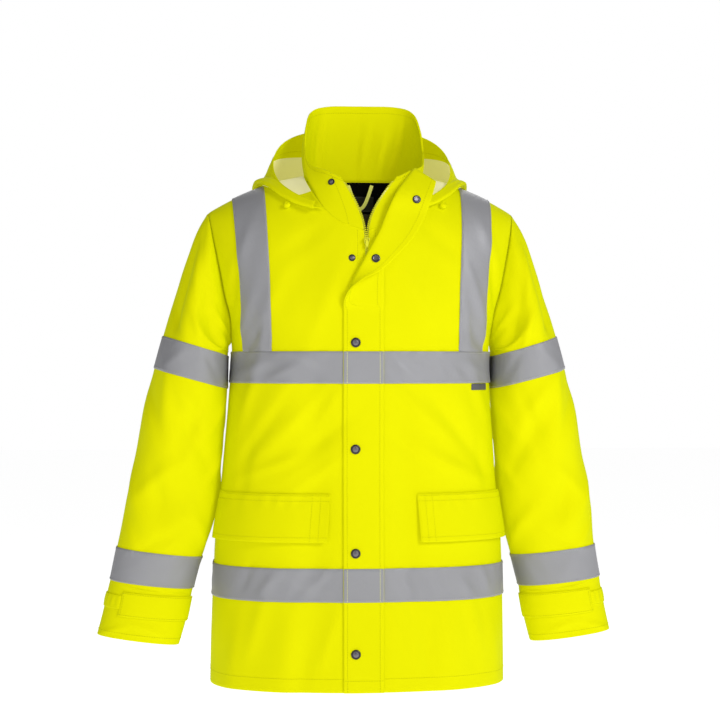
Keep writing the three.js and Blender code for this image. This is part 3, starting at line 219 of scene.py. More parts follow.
SLEEVE_RINGS = Table("ring outX outZ inX inZ depth y", [
    (1, 257, 725, 211.5, 535, 66, 0), (2, 281, 667, 213, 530, 74, -1), (3, 302, 600, 214.5, 525, 79, -2),
    (4, 316.5, 551, 216, 519, 81, -3), (5, 330.5, 500, 219.5, 467.5, 80, -4),
    (6, 346, 437, 224.5, 400, 74, -5), (7, 362, 352, 230.5, 328, 66, -7),
    (8, 377.5, 276, 238.5, 260, 59, -8), (9, 389.5, 216, 257, 200, 52, -10),
    (10, 400, 164.5, 268.7, 150, 47, -11), (11, 403.5, 150, 272, 136.5, 46, -11),
    (12, 412, 112, 280, 98, 42, -12), (13, 421, 78, 291, 60, 38, -12),
])
ARM_TO_BODY = Table("ring right left", [
    (1, 0, 0), (3, 2, 2), (4, 3, 4), (5, 5, 8), (6, 5.2, 8.5), (7, 5.2, 8.5), (8, 4, 6.5), (9, 2, 3),
    (10, 0, 0),
])
LEFT_ARM_IN = Table("ring x", [(0, 0), (6, 0), (8, 3), (9, 10), (13, 16)])
SLEEVE_LAST = 13
# Sleeve folds: place round (0 outer side, 90 front) and along, half widths, twist, height
SLEEVE_FOLDS = Table("round ring wide tall twist height", [
    (60, 6.4, 50, 0.5, 24, 5), (110, 7.4, 46, 0.5, -26, -5), (70, 8.2, 44, 0.45, 22, 4),
    (250, 6.8, 50, 0.5, -24, 5), (290, 7.9, 46, 0.5, 22, -5), (100, 2.4, 40, 0.6, 30, -4),
    (265, 2.5, 42, 0.6, -30, -4),
    (66, 2.2, 17, 1.5, 30, 3.4), (38, 2.6, 13, 1.3, 24, -3.2), (112, 1.9, 15, 1.1, -26, -2.4),
    (138, 2.7, 13, 0.9, -20, 2.2), (88, 3.2, 13, 0.5, 34, 2.2), (20, 1.4, 22, 0.5, 20, 1.6),
    (60, 5.5, 14, 0.5, 26, 2.4), (100, 6.0, 13, 0.45, -24, -2.6), (75, 7.7, 16, 0.4, 24, -2.2),
    (240, 2.3, 17, 1.4, 28, 3.2), (285, 2.6, 14, 1.2, -24, -3.0), (215, 2.8, 13, 0.9, 22, -2.2),
    (120, 1.3, 26, 0.3, -34, 1.8), (60, 1.8, 30, 0.32, 40, 1.8), (95, 3.1, 34, 0.3, 36, 1.8),
    (140, 3.5, 24, 0.24, -30, 1.6), (40, 3.3, 26, 0.3, 30, -1.6), (120, 4.5, 22, 0.22, 26, -0.9),
    (60, 4.6, 20, 0.2, -22, 0.8), (85, 5.5, 34, 0.26, 30, 1.9), (140, 5.8, 26, 0.24, -28, 1.8),
    (40, 5.9, 26, 0.26, 26, -1.7), (115, 6.5, 30, 0.24, 26, -1.9), (150, 6.9, 22, 0.22, -24, 1.6),
    (70, 7.2, 28, 0.22, -24, 1.8), (30, 7.6, 26, 0.26, 24, 1.5), (125, 8.1, 28, 0.24, 26, 1.7),
    (90, 8.6, 26, 0.2, -24, -1.3), (150, 8.5, 22, 0.2, 22, 1.3), (50, 8.75, 22, 0.2, 22, 1.1),
    (80, 9.5, 16, 0.3, 18, 0.7), (120, 9.5, 14, 0.3, -18, -0.6), (80, 10.5, 20, 0.18, 14, 0.9),
    (130, 10.6, 20, 0.18, -14, -0.8), (100, 12.4, 26, 0.14, 12, 1.0), (50, 12.6, 22, 0.14, -12, 0.9),
    (240, 1.6, 30, 0.32, 36, 1.8), (290, 3.2, 30, 0.3, -34, 1.8), (220, 3.6, 24, 0.24, 30, -1.5),
    (260, 5.6, 34, 0.26, -30, 1.9), (210, 6.2, 26, 0.24, 28, 1.7), (300, 6.4, 26, 0.24, 26, -1.7),
    (240, 7.5, 30, 0.24, 26, -1.8), (200, 7.0, 22, 0.22, -22, 1.5), (320, 7.2, 26, 0.24, -24, 1.6),
    (270, 8.4, 28, 0.22, 24, 1.6), (220, 8.6, 24, 0.2, -22, -1.2), (300, 10.6, 22, 0.18, 14, 0.9),
    (240, 12.4, 26, 0.14, 12, 1.0), (310, 12.5, 22, 0.14, -12, 0.9),
])

CREASE_GAIN = 2.1  # the smaller creases of the scene, over the heights in their tables
FRONT_FOLDS.rows[8:, -1] *= CREASE_GAIN
BACK_FOLDS.rows[5:, -1] *= CREASE_GAIN
SLEEVE_FOLDS.rows[7:, -1] *= CREASE_GAIN

COLLAR = Table("at footX topX topY topZ", [
    (0, 5, 45.5, -96, 800), (0.12, 40, 68, -80, 812), (0.26, 72, 90, -48, 823), (0.38, 86.5, 95.5, -17, 848),
    (0.5, 90, 94, 10, 884), (0.64, 81, 85, 40, 916), (0.8, 52, 57, 58, 928), (1, 0, 0, 64, 930),
])
COLLAR_SHIFT = 6.0
COLLAR_WALL = 3.0
COLLAR_BULGE = 5.0
FLARE_REACH = 0.25
FLARE_POWER = 0.6

HOOD = Table("at footX rimX rimY rimZ turnOut turnDown belly", [
    (0.1, 62, 80, -114, 761, 5, 7, 0), (0.2, 74, 106, -98, 768, 7, 9, 0),
    (0.32, 84, 127, -74, 778, 8, 10, 0), (0.42, 89, 145, -42, 797, 8, 14, 1),
    (0.52, 90, 151, -8, 827, 11, 36, 2), (0.64, 82, 140, 36, 866, 28, 110, 8),
    (0.8, 54, 97, 78, 891, 48, 210, 18), (1, 0, 0, 96, 900, 50, 245, 22),
])
HOOD_RUNS = np.array([0, 0.06, 0.12, 0.18, 0.24, 0.3, 0.36, 0.42, 0.47, 0.52, 0.58, 0.64, 0.76, 0.88, 1])
TURN = (0.3, 0.64)
TURN_UNDER = 20.0
HOOD_STATIONS = 28
HOOD_SHIFT = 4.0
HOOD_EASING = 6
HOOD_WALL = 1.4
HOOD_SEAT = 2.2
LINING_GAP = 0.6
LINING_START = 8
SEAT_SAMPLES = 24

FLAP_SEAM = 25.0
FLAP_FREE = -36.0
FLAP_OFF = 1.6
FLAP_WALL = 2.0
FLAP_LAST = 5  # its six columns, counted from 0
FLAP_FLAT_TOP = 590.0
LAPEL = Table("row rootX rootZ foldX foldZ freeX freeZ off roll turn out", [
    (0, 25, 600, -24, 600, -36, 600, 3, 1.5, -4, 5), (1, 25, 612, -26, 612, -34, 610, 5, 4, -3, 11),
    (2, 25, 627, -25, 627, -27, 622, 6, 6, -1, 17), (3, 25, 648, -17, 647, -6, 637, 6, 7, 1, 19),
    (4, 25, 668, -5, 667, 20, 650, 7, 8, 1, 16), (5, 25.5, 690, 8, 690, 46, 674, 8, 8, 1, 15),
    (6, 29, 712, 21, 713, 70, 702, 10, 8, 1, 17), (7, 40, 738, 32, 739, 86, 732, 14, 8, 1, 21),
    (8, 54, 768, 47, 769, 98, 753, 24, 8, 1, 27), (9, 76, 800, 69, 803, 106, 772, 36, 8, 1, 32),
])
LAPEL_ROOT = 0.45
LAPEL_FOLD = 0.5

Vec = np.ndarray


def unit(v: Vec) -> Vec:
    """Vectors brought to length 1."""
    return v / np.maximum(np.linalg.norm(v, axis=-1, keepdims=True), 1e-12)


def stack(x: Vec, y: Vec, z: Vec) -> Vec:
    """Three arrays, spread to one shape, as vectors along a last axis."""
    return np.stack(np.broadcast_arrays(np.asarray(x, float), np.asarray(y, float), np.asarray(z, float)), -1)


def lerp(a: Vec, b: Vec, t: Vec) -> Vec:
    """The value a share t of the way from a to b."""
    return a + (b - a) * t


def ridge(x: Vec) -> Vec:
    """Height of the shoulder ridge at a distance from the centre."""
    return SHOULDER.read(np.abs(x), "z")


def fold_height(folds: Table, x: Vec, z: Vec) -> Vec:
    """Sum of soft folds: each is a bump that fades along its line and across it.

    Args:
        folds: Table of folds.
        x: Places across.
        z: Heights.

    Returns:
        How far the cloth stands out, in millimetres.
    """
    slope = np.radians(folds.column("slope"))
    c, s = np.cos(slope), np.sin(slope)
    dx = np.asarray(x, float)[..., None] - folds.column("x")
    dz = np.asarray(z, float)[..., None] - folds.column("z")
    u = (dx * c + dz * s) / folds.column("length")
    v = (-dx * s + dz * c) / folds.column("width")
    return (folds.column("height") * np.exp(-u * u - v * v)).sum(-1)


class Side(Enum):
    """The wearer's side, as the sign of X."""

    RIGHT = -1
    LEFT = 1

    @property
    def word(self) -> str:
        """The side's name as the nodes use it."""
        return self.name.lower()


def torso_depth(face: str, x: Vec, z: Vec) -> tuple[Vec, Vec, Vec]:
    """Depth of the body in front of or behind the side plane.

    A super-ellipse in plan, whose depth rounds in to the shoulder ridge above the chest.

    Args:
        face: "front" or "back".
        x: Places across.
        z: Heights above the hem.

    Returns:
        Share of the depth left by the plan, share left by the round, and the depth.
    """
    n = SECTION_POWER
    across = np.minimum(np.abs(x - TORSO.read(z, "shift")) / TORSO.read(z, "half"), 1)
    wide = np.maximum(1 - across**n, 0) ** (1 / n)
    rise = np.clip((z - ROUND_START) / (ridge(x) - ROUND_START), 0, 1)
    tall = np.maximum(1 - rise**n, 0) ** (1 / n)
    return wide, tall, TORSO.read(z, face) * np.maximum(wide, THINNEST) * np.maximum(tall, THINNEST)


def torso(face: str, x: Vec, z: Vec) -> tuple[Vec, Vec]:
    """The body's surface with its folds.

    Args:
        face: "front" or "back".
        x: Places across.
        z: Heights above the hem.

    Returns:
        Points and outward normals.
    """
    x, z = np.broadcast_arrays(np.asarray(x, float), np.asarray(z, float))
    sign = -1.0 if face == "front" else 1.0
    wide, tall, depth = torso_depth(face, x, z)
    h = 0.05
    dx = (torso_depth(face, x + h, z)[2] - torso_depth(face, x - h, z)[2]) / (2 * h)
    dz = (torso_depth(face, x, z + h)[2] - torso_depth(face, x, z - h)[2]) / (2 * h)
    normal = unit(stack(-dx, sign, -dz))
    lean = np.where(np.abs(x) > NECK_HALF, RIDGE_LEAN * np.sign(x), 0)
    on_side = (wide < SEAM_SHARE)[..., None]
    on_ridge = (tall < 2 * SEAM_SHARE)[..., None]
    normal = np.where(on_ridge, unit(stack(lean, 0, 1)), normal)
    normal = np.where(on_side, unit(stack(np.sign(x), 0, -SEAM_SHARE)), normal)
    folds = FRONT_FOLDS if face == "front" else BACK_FOLDS
    lift = fold_height(folds, x, z) * np.minimum(1, FOLD_FADE * np.minimum(wide, tall))
    edge = np.where((wide < SEAM_SHARE) | (tall < SEAM_SHARE), 0, depth)
    return stack(x, sign * (edge + PANEL_BACK), z) + normal * lift[..., None], normal


@dataclass
class Sheet:
    """A grid of surface points with outward normals, rows by columns."""

    point: Vec
    normal: Vec

    def out(self, distance: Vec) -> Vec:
        """The grid moved out by a distance, one number or an array of rows by columns."""
        return self.point + self.normal * np.asarray(distance, float)[..., None]

    def part(self, rows: tuple[int, int], columns: tuple[int, int]) -> "Sheet":
        """The grid between two rows and two columns, both ends included."""
        cut = np.s_[rows[0]:rows[1] + 1, columns[0]:columns[1] + 1]
        return Sheet(self.point[cut], self.normal[cut])

    def along_row(self, row: float) -> "Sheet":
        """The line at a row number, which need not be whole."""
        i = min(int(row), self.point.shape[0] - 2)
        t = row - i
        return Sheet(lerp(self.point[i], self.point[i + 1], t), lerp(self.normal[i], self.normal[i + 1], t))

    def along_column(self, column: float) -> "Sheet":
        """The line at a column number, which need not be whole."""
        i = min(int(column), self.point.shape[1] - 2)
        t = column - i
        return Sheet(lerp(self.point[:, i], self.point[:, i + 1], t),
                     lerp(self.normal[:, i], self.normal[:, i + 1], t))


def grid_normals(point: Vec, around: bool = False) -> Vec:
    """Normals of a grid: the cross of the ways along its rows and up its columns.

    Args:
        point: Grid of points.
        around: True if the last column meets the first.

    Returns:
        Unit normals.
    """
    if around:
        wide = np.roll(point, -1, 1) - np.roll(point, 1, 1)
    else:
        wide = np.concatenate([point[:, 1:2] - point[:, :1], point[:, 2:] - point[:, :-2],
                               point[:, -1:] - point[:, -2:-1]], 1)
    tall = np.concatenate([point[1:2] - point[:1], point[2:] - point[:-2], point[-1:] - point[-2:-1]], 0)
    return unit(np.cross(wide, tall))


def spline(point: Vec, count: int) -> Vec:
    """More rows between the rows of an array: a cubic through them, the first and last held.

    Args:
        point: Values, rows first.
        count: Steps between two rows.

    Returns:
        Values with count times as many steps.
    """
    last = len(point) - 1
    at = np.linspace(0, last, last * count + 1)
    i = np.minimum(at.astype(int), last - 1)
    t = (at - i).reshape((-1,) + (1,) * (point.ndim - 1))
    p0, p1, p2, p3 = (point[np.clip(i + k, 0, last)] for k in (-1, 0, 1, 2))
    start, end, rise = (p2 - p0) / 2, (p3 - p1) / 2, p2 - p1
    return p1 + t * (start + t * (3 * rise - 2 * start - end + t * (start + end - 2 * rise)))


# Meshes


def wall(outer: Vec, inner: Vec, around: bool = False) -> tuple[Vec, Vec]:
    """A closed cloth wall between two grids, with a rounded edge.

    Args:
        outer: Outer grid of points.
        inner: Inner grid of the same size.
        around: True if the last column meets the first.

    Returns:
        Vertices and four-sided faces.
    """
    rows, columns = outer.shape[:2]
    index = np.arange(rows * columns).reshape(rows, columns)
    right = np.roll(index, -1, 1) if around else index[:, 1:]
    left = index if around else index[:, :-1]
    quads = np.stack([left[:-1], right[:-1], right[1:], left[1:]], -1).reshape(-1, 4)
    layer = rows * columns
    faces = [quads, quads[:, ::-1] + layer]
    vertices = [outer.reshape(-1, 3), inner.reshape(-1, 3)]
    if around:
        loops = [(index[0], index[1]), (index[-1][::-1], index[-2][::-1])]
    else:
        edge = np.concatenate([index[0, :-1], index[:-1, -1], index[-1, :0:-1], index[:0:-1, 0]])
        inside = np.clip(np.stack(np.divmod(edge, columns), -1), 1, [rows - 2, columns - 2])
        loops = [(edge, inside[:, 0] * columns + inside[:, 1])]
    total = 2 * layer
    flat = outer.reshape(-1, 3)
    depth = inner.reshape(-1, 3)
    for edge, inside in loops:
        thick = np.linalg.norm(flat[edge] - depth[edge], axis=1, keepdims=True)
        middle = (flat[edge] + depth[edge]) / 2
        away = unit(flat[edge] - flat[inside])
        vertices.append(middle + away * thick * 0.4)
        ring = total + np.arange(len(edge))
        total += len(edge)
        after, ring_after = np.roll(edge, -1), np.roll(ring, -1)
        faces.append(np.stack([edge, ring, ring_after, after], -1))
        faces.append(np.stack([ring, edge + layer, after + layer, ring_after], -1))
    points = np.concatenate(vertices)
    quads = np.concatenate(faces)
    a, b, c, d = (points[quads[:, k]] for k in range(4))
    volume = (a * np.cross(b, c)).sum() + (a * np.cross(c, d)).sum()
    return points, quads if volume > 0 else quads[:, ::-1]


def lathe(profile: Sequence[tuple[float, float]], sides: int) -> tuple[Vec, Vec]:
    """A turned solid about +Z from pairs of radius and height, closed on its axis.

    Args:
        profile: Radius and height from the seat's centre round to the top's centre.
        sides: Facets round it.

    Returns:
        Vertices and triangles or four-sided faces, as rows of four with a repeat for triangles.
    """
    rings = np.array(profile[1:-1], float)
    angle = np.linspace(0, 2 * math.pi, sides, endpoint=False)
    ring = stack(rings[:, :1] * np.cos(angle), rings[:, :1] * np.sin(angle), rings[:, 1:])
    points = np.concatenate([ring.reshape(-1, 3), [[0, 0, profile[0][1]], [0, 0, profile[-1][1]]]])
    index = np.arange(len(rings) * sides).reshape(len(rings), sides)
    right = np.roll(index, -1, 1)
    quads = np.stack([index[:-1], right[:-1], right[1:], index[1:]], -1).reshape(-1, 4)
    low, high = len(points) - 2, len(points) - 1
    bottom = np.stack([right[0], index[0], np.full(sides, low), np.full(sides, low)], -1)
    top = np.stack([index[-1], right[-1], np.full(sides, high), np.full(sides, high)], -1)
    return points, np.concatenate([quads, bottom, top])


def turned(points: Vec, seat: Vec, normal: Vec) -> Vec:
    """Points about +Z stood at a seat along a normal."""
    normal = unit(normal)
    side = unit(np.cross([0.0, 1.0, 0.0] if abs(normal[1]) < 0.9 else [1.0, 0.0, 0.0], normal))
    return seat + points @ np.stack([side, np.cross(normal, side), normal])


def tube(path: Vec, radius: float, sides: int = 8) -> tuple[Vec, Vec]:
    """A closed round cord along a path.

    Args:
        path: Points of its middle line.
        radius: Radius.
        sides: Facets round it.

    Returns:
        Vertices and four-sided faces.
    """
    way = unit(np.gradient(path, axis=0))
    side = unit(np.cross(way, [0.3, 0.2, 0.93]))
    up = np.cross(side, way)
    angle = np.linspace(0, 2 * math.pi, sides, endpoint=False)[:, None]
    ring = path[:, None] + radius * (np.cos(angle) * side[:, None] + np.sin(angle) * up[:, None])
    index = np.arange(len(path) * sides).reshape(len(path), sides)
    right = np.roll(index, -1, 1)
    quads = np.stack([index[:-1], right[:-1], right[1:], index[1:]], -1).reshape(-1, 4)
    points = np.concatenate([ring.reshape(-1, 3), path[:1], path[-1:]])
    low, high = len(points) - 2, len(points) - 1
    start = np.stack([right[0], index[0], np.full(sides, low), np.full(sides, low)], -1)
    end = np.stack([index[-1], right[-1], np.full(sides, high), np.full(sides, high)], -1)
    faces = np.concatenate([quads, start, end])
    return points, flipped(faces)


def flipped(faces: Vec) -> Vec:
    """Faces turned over; a triangle keeps its repeated vertex last."""
    single = faces[:, 2] == faces[:, 3]
    return np.where(single[:, None], faces[:, [1, 0, 2, 3]], faces[:, ::-1])


def join(shapes: Sequence[tuple[Vec, Vec]]) -> tuple[Vec, Vec]:
    """Several shapes as one list of vertices and faces."""
    offsets = np.cumsum([0] + [len(points) for points, _ in shapes[:-1]])
    return (np.concatenate([points for points, _ in shapes]),
            np.concatenate([faces + offset for (_, faces), offset in zip(shapes, offsets)]))


@dataclass(frozen=True)
class Thread:
    """Size of a run of stitches."""

    pitch: float = 4.0
    length: float = 3.1
    width: float = 0.7
    rise: float = 0.35


def stitches(path: Vec, normal: Vec, thread: Thread = Thread(), closed: bool = False) -> tuple[Vec, Vec]:
    """A run of stitches laid on a line: each a low arch whose ends dip into the cloth.

    Args:
        path: Points of the line on the cloth.
        normal: Outward normals there.
        thread: Sizes of the stitches.
        closed: True if the line runs round to its start.

    Returns:
        Vertices and four-sided faces.
    """
    if closed:
        path = np.concatenate([path, path[:1]])
        normal = np.concatenate([normal, normal[:1]])
    length = np.concatenate([[0], np.cumsum(np.linalg.norm(np.diff(path, axis=0), axis=1))])
    count = max(int(length[-1] / thread.pitch), 1)
    middle = (np.arange(count) + 0.5) * length[-1] / count
    read = lambda at, values: np.stack([np.interp(at, length, values[:, k]) for k in range(3)], -1)
    up = unit(read(middle, normal))
    sections = []
    for share, rise, wide in ((-0.5, -0.15, 0.5), (-0.2, thread.rise, 1.0), (0.2, thread.rise, 1.0),
                              (0.5, -0.15, 0.5)):
        centre = read(np.clip(middle + share * thread.length, 0, length[-1]), path)
        way = unit(read(np.clip(middle + 0.3, 0, length[-1]), path) - read(np.clip(middle - 0.3, 0, None), path))
        side = np.cross(up, way) * (thread.width / 2 * wide)
        top = up * (thread.width / 2 * wide)
        base = centre + up * rise
        sections.append(np.stack([base - side, base - top, base + side, base + top], 1))
    points = np.stack(sections, 1).reshape(-1, 3)
    cell = np.arange(count)[:, None] * 16
    turns = np.concatenate([np.array([[s * 4 + k, s * 4 + (k + 1) % 4, s * 4 + 4 + (k + 1) % 4, s * 4 + 4 + k]
                                      for k in range(4)]) for s in range(3)] + [
        np.array([[3, 2, 1, 0], [12, 13, 14, 15]])])
    faces = (cell[:, :, None] + turns[None]).reshape(-1, 4)
    return points, faces


# Finishes


def node_group(name: str, outputs: Sequence[tuple[str, str]],
               inputs: Sequence[tuple[str, str, float]] = ()) -> tuple[bpy.types.NodeTree, bpy.types.Node,
                                                                       bpy.types.Node]:
    """A new shader node group with its sockets.

    Args:
        name: Name of the group.
        outputs: Name and socket type of each output.
        inputs: Name, socket type and default of each input.

    Returns:
        The group, its input node and its output node.
    """
    group = bpy.data.node_groups.new(name, "ShaderNodeTree")
    for label, kind in outputs:
        group.interface.new_socket(name=label, in_out="OUTPUT", socket_type=kind)
    for label, kind, value in inputs:
        socket = group.interface.new_socket(name=label, in_out="INPUT", socket_type=kind)
        socket.default_value = value
    return group, group.nodes.new("NodeGroupInput"), group.nodes.new("NodeGroupOutput")


def weave_group() -> bpy.types.NodeTree:
    """A plain weave: the height of warp over weft, as a product of two waves of the cloth's own map.

    Returns:
        Group with input Thread (its spacing in metres) and output Height (0 to 1).
    """
    group, entry, leave = node_group("Weave", [("Height", "NodeSocketFloat")],
                                     [("Thread", "NodeSocketFloat", 0.0006)])
    nodes, links = group.nodes, group.links
    uv = nodes.new("ShaderNodeUVMap")
    uv.uv_map = "cloth"
    split = nodes.new("ShaderNodeSeparateXYZ")
    links.new(uv.outputs["UV"], split.inputs[0])
    waves = []
    for axis in ("X", "Y"):
        ratio = nodes.new("ShaderNodeMath")
        ratio.operation = "DIVIDE"
        links.new(split.outputs[axis], ratio.inputs[0])
        links.new(entry.outputs["Thread"], ratio.inputs[1])
        turn = nodes.new("ShaderNodeMath")
        turn.operation = "MULTIPLY"
        turn.inputs[1].default_value = math.pi
        links.new(ratio.outputs[0], turn.inputs[0])
        wave = nodes.new("ShaderNodeMath")
        wave.operation = "SINE"
        links.new(turn.outputs[0], wave.inputs[0])
        waves.append(wave)
    product = nodes.new("ShaderNodeMath")
    product.operation = "MULTIPLY"
    links.new(waves[0].outputs[0], product.inputs[0])
    links.new(waves[1].outputs[0], product.inputs[1])
    level = nodes.new("ShaderNodeMath")
    level.operation = "MULTIPLY_ADD"
    level.inputs[1].default_value = 0.5
    level.inputs[2].default_value = 0.5
    links.new(product.outputs[0], level.inputs[0])
    links.new(level.outputs[0], leave.inputs["Height"])
    return group


def rumple_group() -> bpy.types.NodeTree:
    """Unevenness of handled cloth: soft noise at two sizes, read in the object's own place.

    Returns:
        Group with outputs Height (fine crumple) and Tone (broad drift, 0 to 1).
    """
    group, _, leave = node_group("Rumple", [("Height", "NodeSocketFloat"), ("Tone", "NodeSocketFloat")])
    nodes, links = group.nodes, group.links
    place = nodes.new("ShaderNodeTexCoord")
    fine = nodes.new("ShaderNodeTexNoise")
    fine.inputs["Scale"].default_value = 70.0
    fine.inputs["Detail"].default_value = 3.0
    fine.inputs["Distortion"].default_value = 0.6
    broad = nodes.new("ShaderNodeTexNoise")
    broad.inputs["Scale"].default_value = 9.0
    broad.inputs["Detail"].default_value = 2.0
    for noise in (fine, broad):
        links.new(place.outputs["Object"], noise.inputs["Vector"])
    links.new(fine.outputs["Fac"], leave.inputs["Height"])
    links.new(broad.outputs["Fac"], leave.inputs["Tone"])
    return group


@dataclass(frozen=True)
class Finish:
    """One material: colours in linear light, how smooth and rumpled it is, and any painted glow or painted side
    shade.
    """

    name: str
    colour: tuple[float, float, float]
    shade: tuple[float, float, float]
    roughness: float = 0.6
    metallic: float = 0.0
    weave: float = 0.0
    thread: float = 0.0006
    rumple: float = 0.0
    coat: float = 0.0
    # The glow is emission of the material's own colour: painted light, though the cloth is no lamp.
    glow: float = 0.0
    specular: float = 0.5
    # The edge colour is mixed in where a surface is seen edge-on: painted shade, the olive of sides turned from
    # the light.
    edge: Optional[tuple[float, float, float]] = None

    def build(self, weave: bpy.types.NodeTree, rumple: bpy.types.NodeTree) -> bpy.types.Material:
        """Make the material.

        Args:
            weave: The shared weave group.
            rumple: The shared rumple group.

        Returns:
            The new material.
        """
        material = bpy.data.materials.new(self.name)
        material.use_nodes = True
        nodes, links = material.node_tree.nodes, material.node_tree.links
        shader = nodes["Principled BSDF"]
        shader.inputs["Roughness"].default_value = self.roughness
        shader.inputs["Metallic"].default_value = self.metallic
        shader.inputs["Specular IOR Level"].default_value = self.specular
        shader.inputs["Coat Weight"].default_value = self.coat
        shader.inputs["Coat Roughness"].default_value = 0.3
        # Emission of the material's own colour is painted light: the cloth glows though it is no lamp.
        shader.inputs["Emission Color"].default_value = (*self.colour, 1)
        shader.inputs["Emission Strength"].default_value = self.glow
        uneven = nodes.new("ShaderNodeGroup")
        uneven.node_tree = rumple
        tone = nodes.new("ShaderNodeMix")
        tone.data_type = "RGBA"
        tone.inputs["A"].default_value = (*self.shade, 1)
        tone.inputs["B"].default_value = (*self.colour, 1)
        links.new(uneven.outputs["Tone"], tone.inputs["Factor"])
        colour = tone.outputs["Result"]
        # The edge colour, mixed in by facing, is painted shade: surfaces seen edge-on turn olive as if shaded.
        if self.edge:
            facing = nodes.new("ShaderNodeLayerWeight")
            facing.inputs["Blend"].default_value = 0.38
            side_shade = nodes.new("ShaderNodeMix")
            side_shade.data_type = "RGBA"
            side_shade.inputs["B"].default_value = (*self.edge, 1)
            links.new(facing.outputs["Facing"], side_shade.inputs["Factor"])
            links.new(colour, side_shade.inputs["A"])
            colour = side_shade.outputs["Result"]
        links.new(colour, shader.inputs["Base Color"])
        surface = None
        if self.rumple:
            surface = nodes.new("ShaderNodeBump")
            surface.inputs["Strength"].default_value = self.rumple
            surface.inputs["Distance"].default_value = 0.0015
            links.new(uneven.outputs["Height"], surface.inputs["Height"])
        if self.weave:
            cloth = nodes.new("ShaderNodeGroup")
            cloth.node_tree = weave
            cloth.inputs["Thread"].default_value = self.thread
            bump = nodes.new("ShaderNodeBump")
            bump.inputs["Strength"].default_value = self.weave
            bump.inputs["Distance"].default_value = 0.0001
            links.new(cloth.outputs["Height"], bump.inputs["Height"])
            if surface:
                links.new(surface.outputs["Normal"], bump.inputs["Normal"])
            surface = bump
        if surface:
            links.new(surface.outputs["Normal"], shader.inputs["Normal"])
        return material


class Cloth(Enum):
    """The finishes of the jacket."""

    # Yellow cloth: its glow is painted light and its edge colour is painted shade on the sides.
    YELLOW = Finish("hi-vis yellow polyester", (0.70, 0.69, 0.0), (0.66, 0.655, 0.0), 0.75, weave=0.25,
                    rumple=0.16, glow=0.2, specular=0.04, edge=(0.50, 0.57, 0.0))
    YELLOW_INSIDE = Finish("coated yellow inside", (0.52, 0.53, 0.02), (0.46, 0.47, 0.02), 0.6, rumple=0.2,
                           specular=0.2)
    # The thread is darker than the cloth as painted shade in the stitch grooves, and its glow is painted light.
    YELLOW_THREAD = Finish("yellow thread", (0.58, 0.59, 0.0), (0.50, 0.51, 0.0), 0.7, specular=0.1, glow=0.1)
    SILVER = Finish("retro-reflective tape", (0.35, 0.35, 0.37), (0.30, 0.30, 0.315), 0.5, metallic=0.15,
                    weave=0.2, thread=0.0004, rumple=0.3, specular=0.3)
    GREY_THREAD = Finish("grey thread", (0.44, 0.44, 0.45), (0.38, 0.38, 0.39), 0.7)
    BLACK = Finish("black lining", (0.004, 0.004, 0.004), (0.002, 0.002, 0.002), 0.9, weave=0.4,
                   specular=0.06)
    LABEL = Finish("woven black label", (0.012, 0.012, 0.014), (0.009, 0.009, 0.01), 0.55, weave=0.4)
    MESH = Finish("grey mesh", (0.12, 0.105, 0.08), (0.07, 0.06, 0.045), 0.85, weave=0.9, thread=0.002,
                  specular=0.2)
    GREY = Finish("grey label", (0.10, 0.10, 0.11), (0.08, 0.08, 0.09), 0.6, weave=0.3)
    # The cream lining's glow is painted light that lifts it out of the hood's shade.
    CREAM = Finish("cream taffeta lining", (0.80, 0.77, 0.42), (0.74, 0.70, 0.30), 0.5, rumple=0.35,
                   weave=0.2, glow=0.26, specular=0.3)
    # The loop's glow is painted light.
    LOOP = Finish("pale yellow twill", (0.80, 0.80, 0.18), (0.72, 0.72, 0.14), 0.7, weave=0.6, thread=0.0009,
                  glow=0.18)
    GUNMETAL = Finish("gunmetal", (0.07, 0.065, 0.07), (0.05, 0.045, 0.05), 0.34, metallic=0.9, rumple=0.05)
    # The lighter snap centre is a painted highlight on the gunmetal.
    SNAP_HIGHLIGHT = Finish("worn snap centre", (0.21, 0.20, 0.22), (0.16, 0.15, 0.17), 0.35, metallic=0.9)
    ZIP = Finish("yellow zip plastic", (0.80, 0.80, 0.01), (0.72, 0.72, 0.01), 0.4, coat=0.2)
    # The pale thread's glow is painted light.
    PALE_THREAD = Finish("pale yellow thread", (0.85, 0.85, 0.30), (0.78, 0.78, 0.26), 0.7,
                         specular=0.1, glow=0.2)


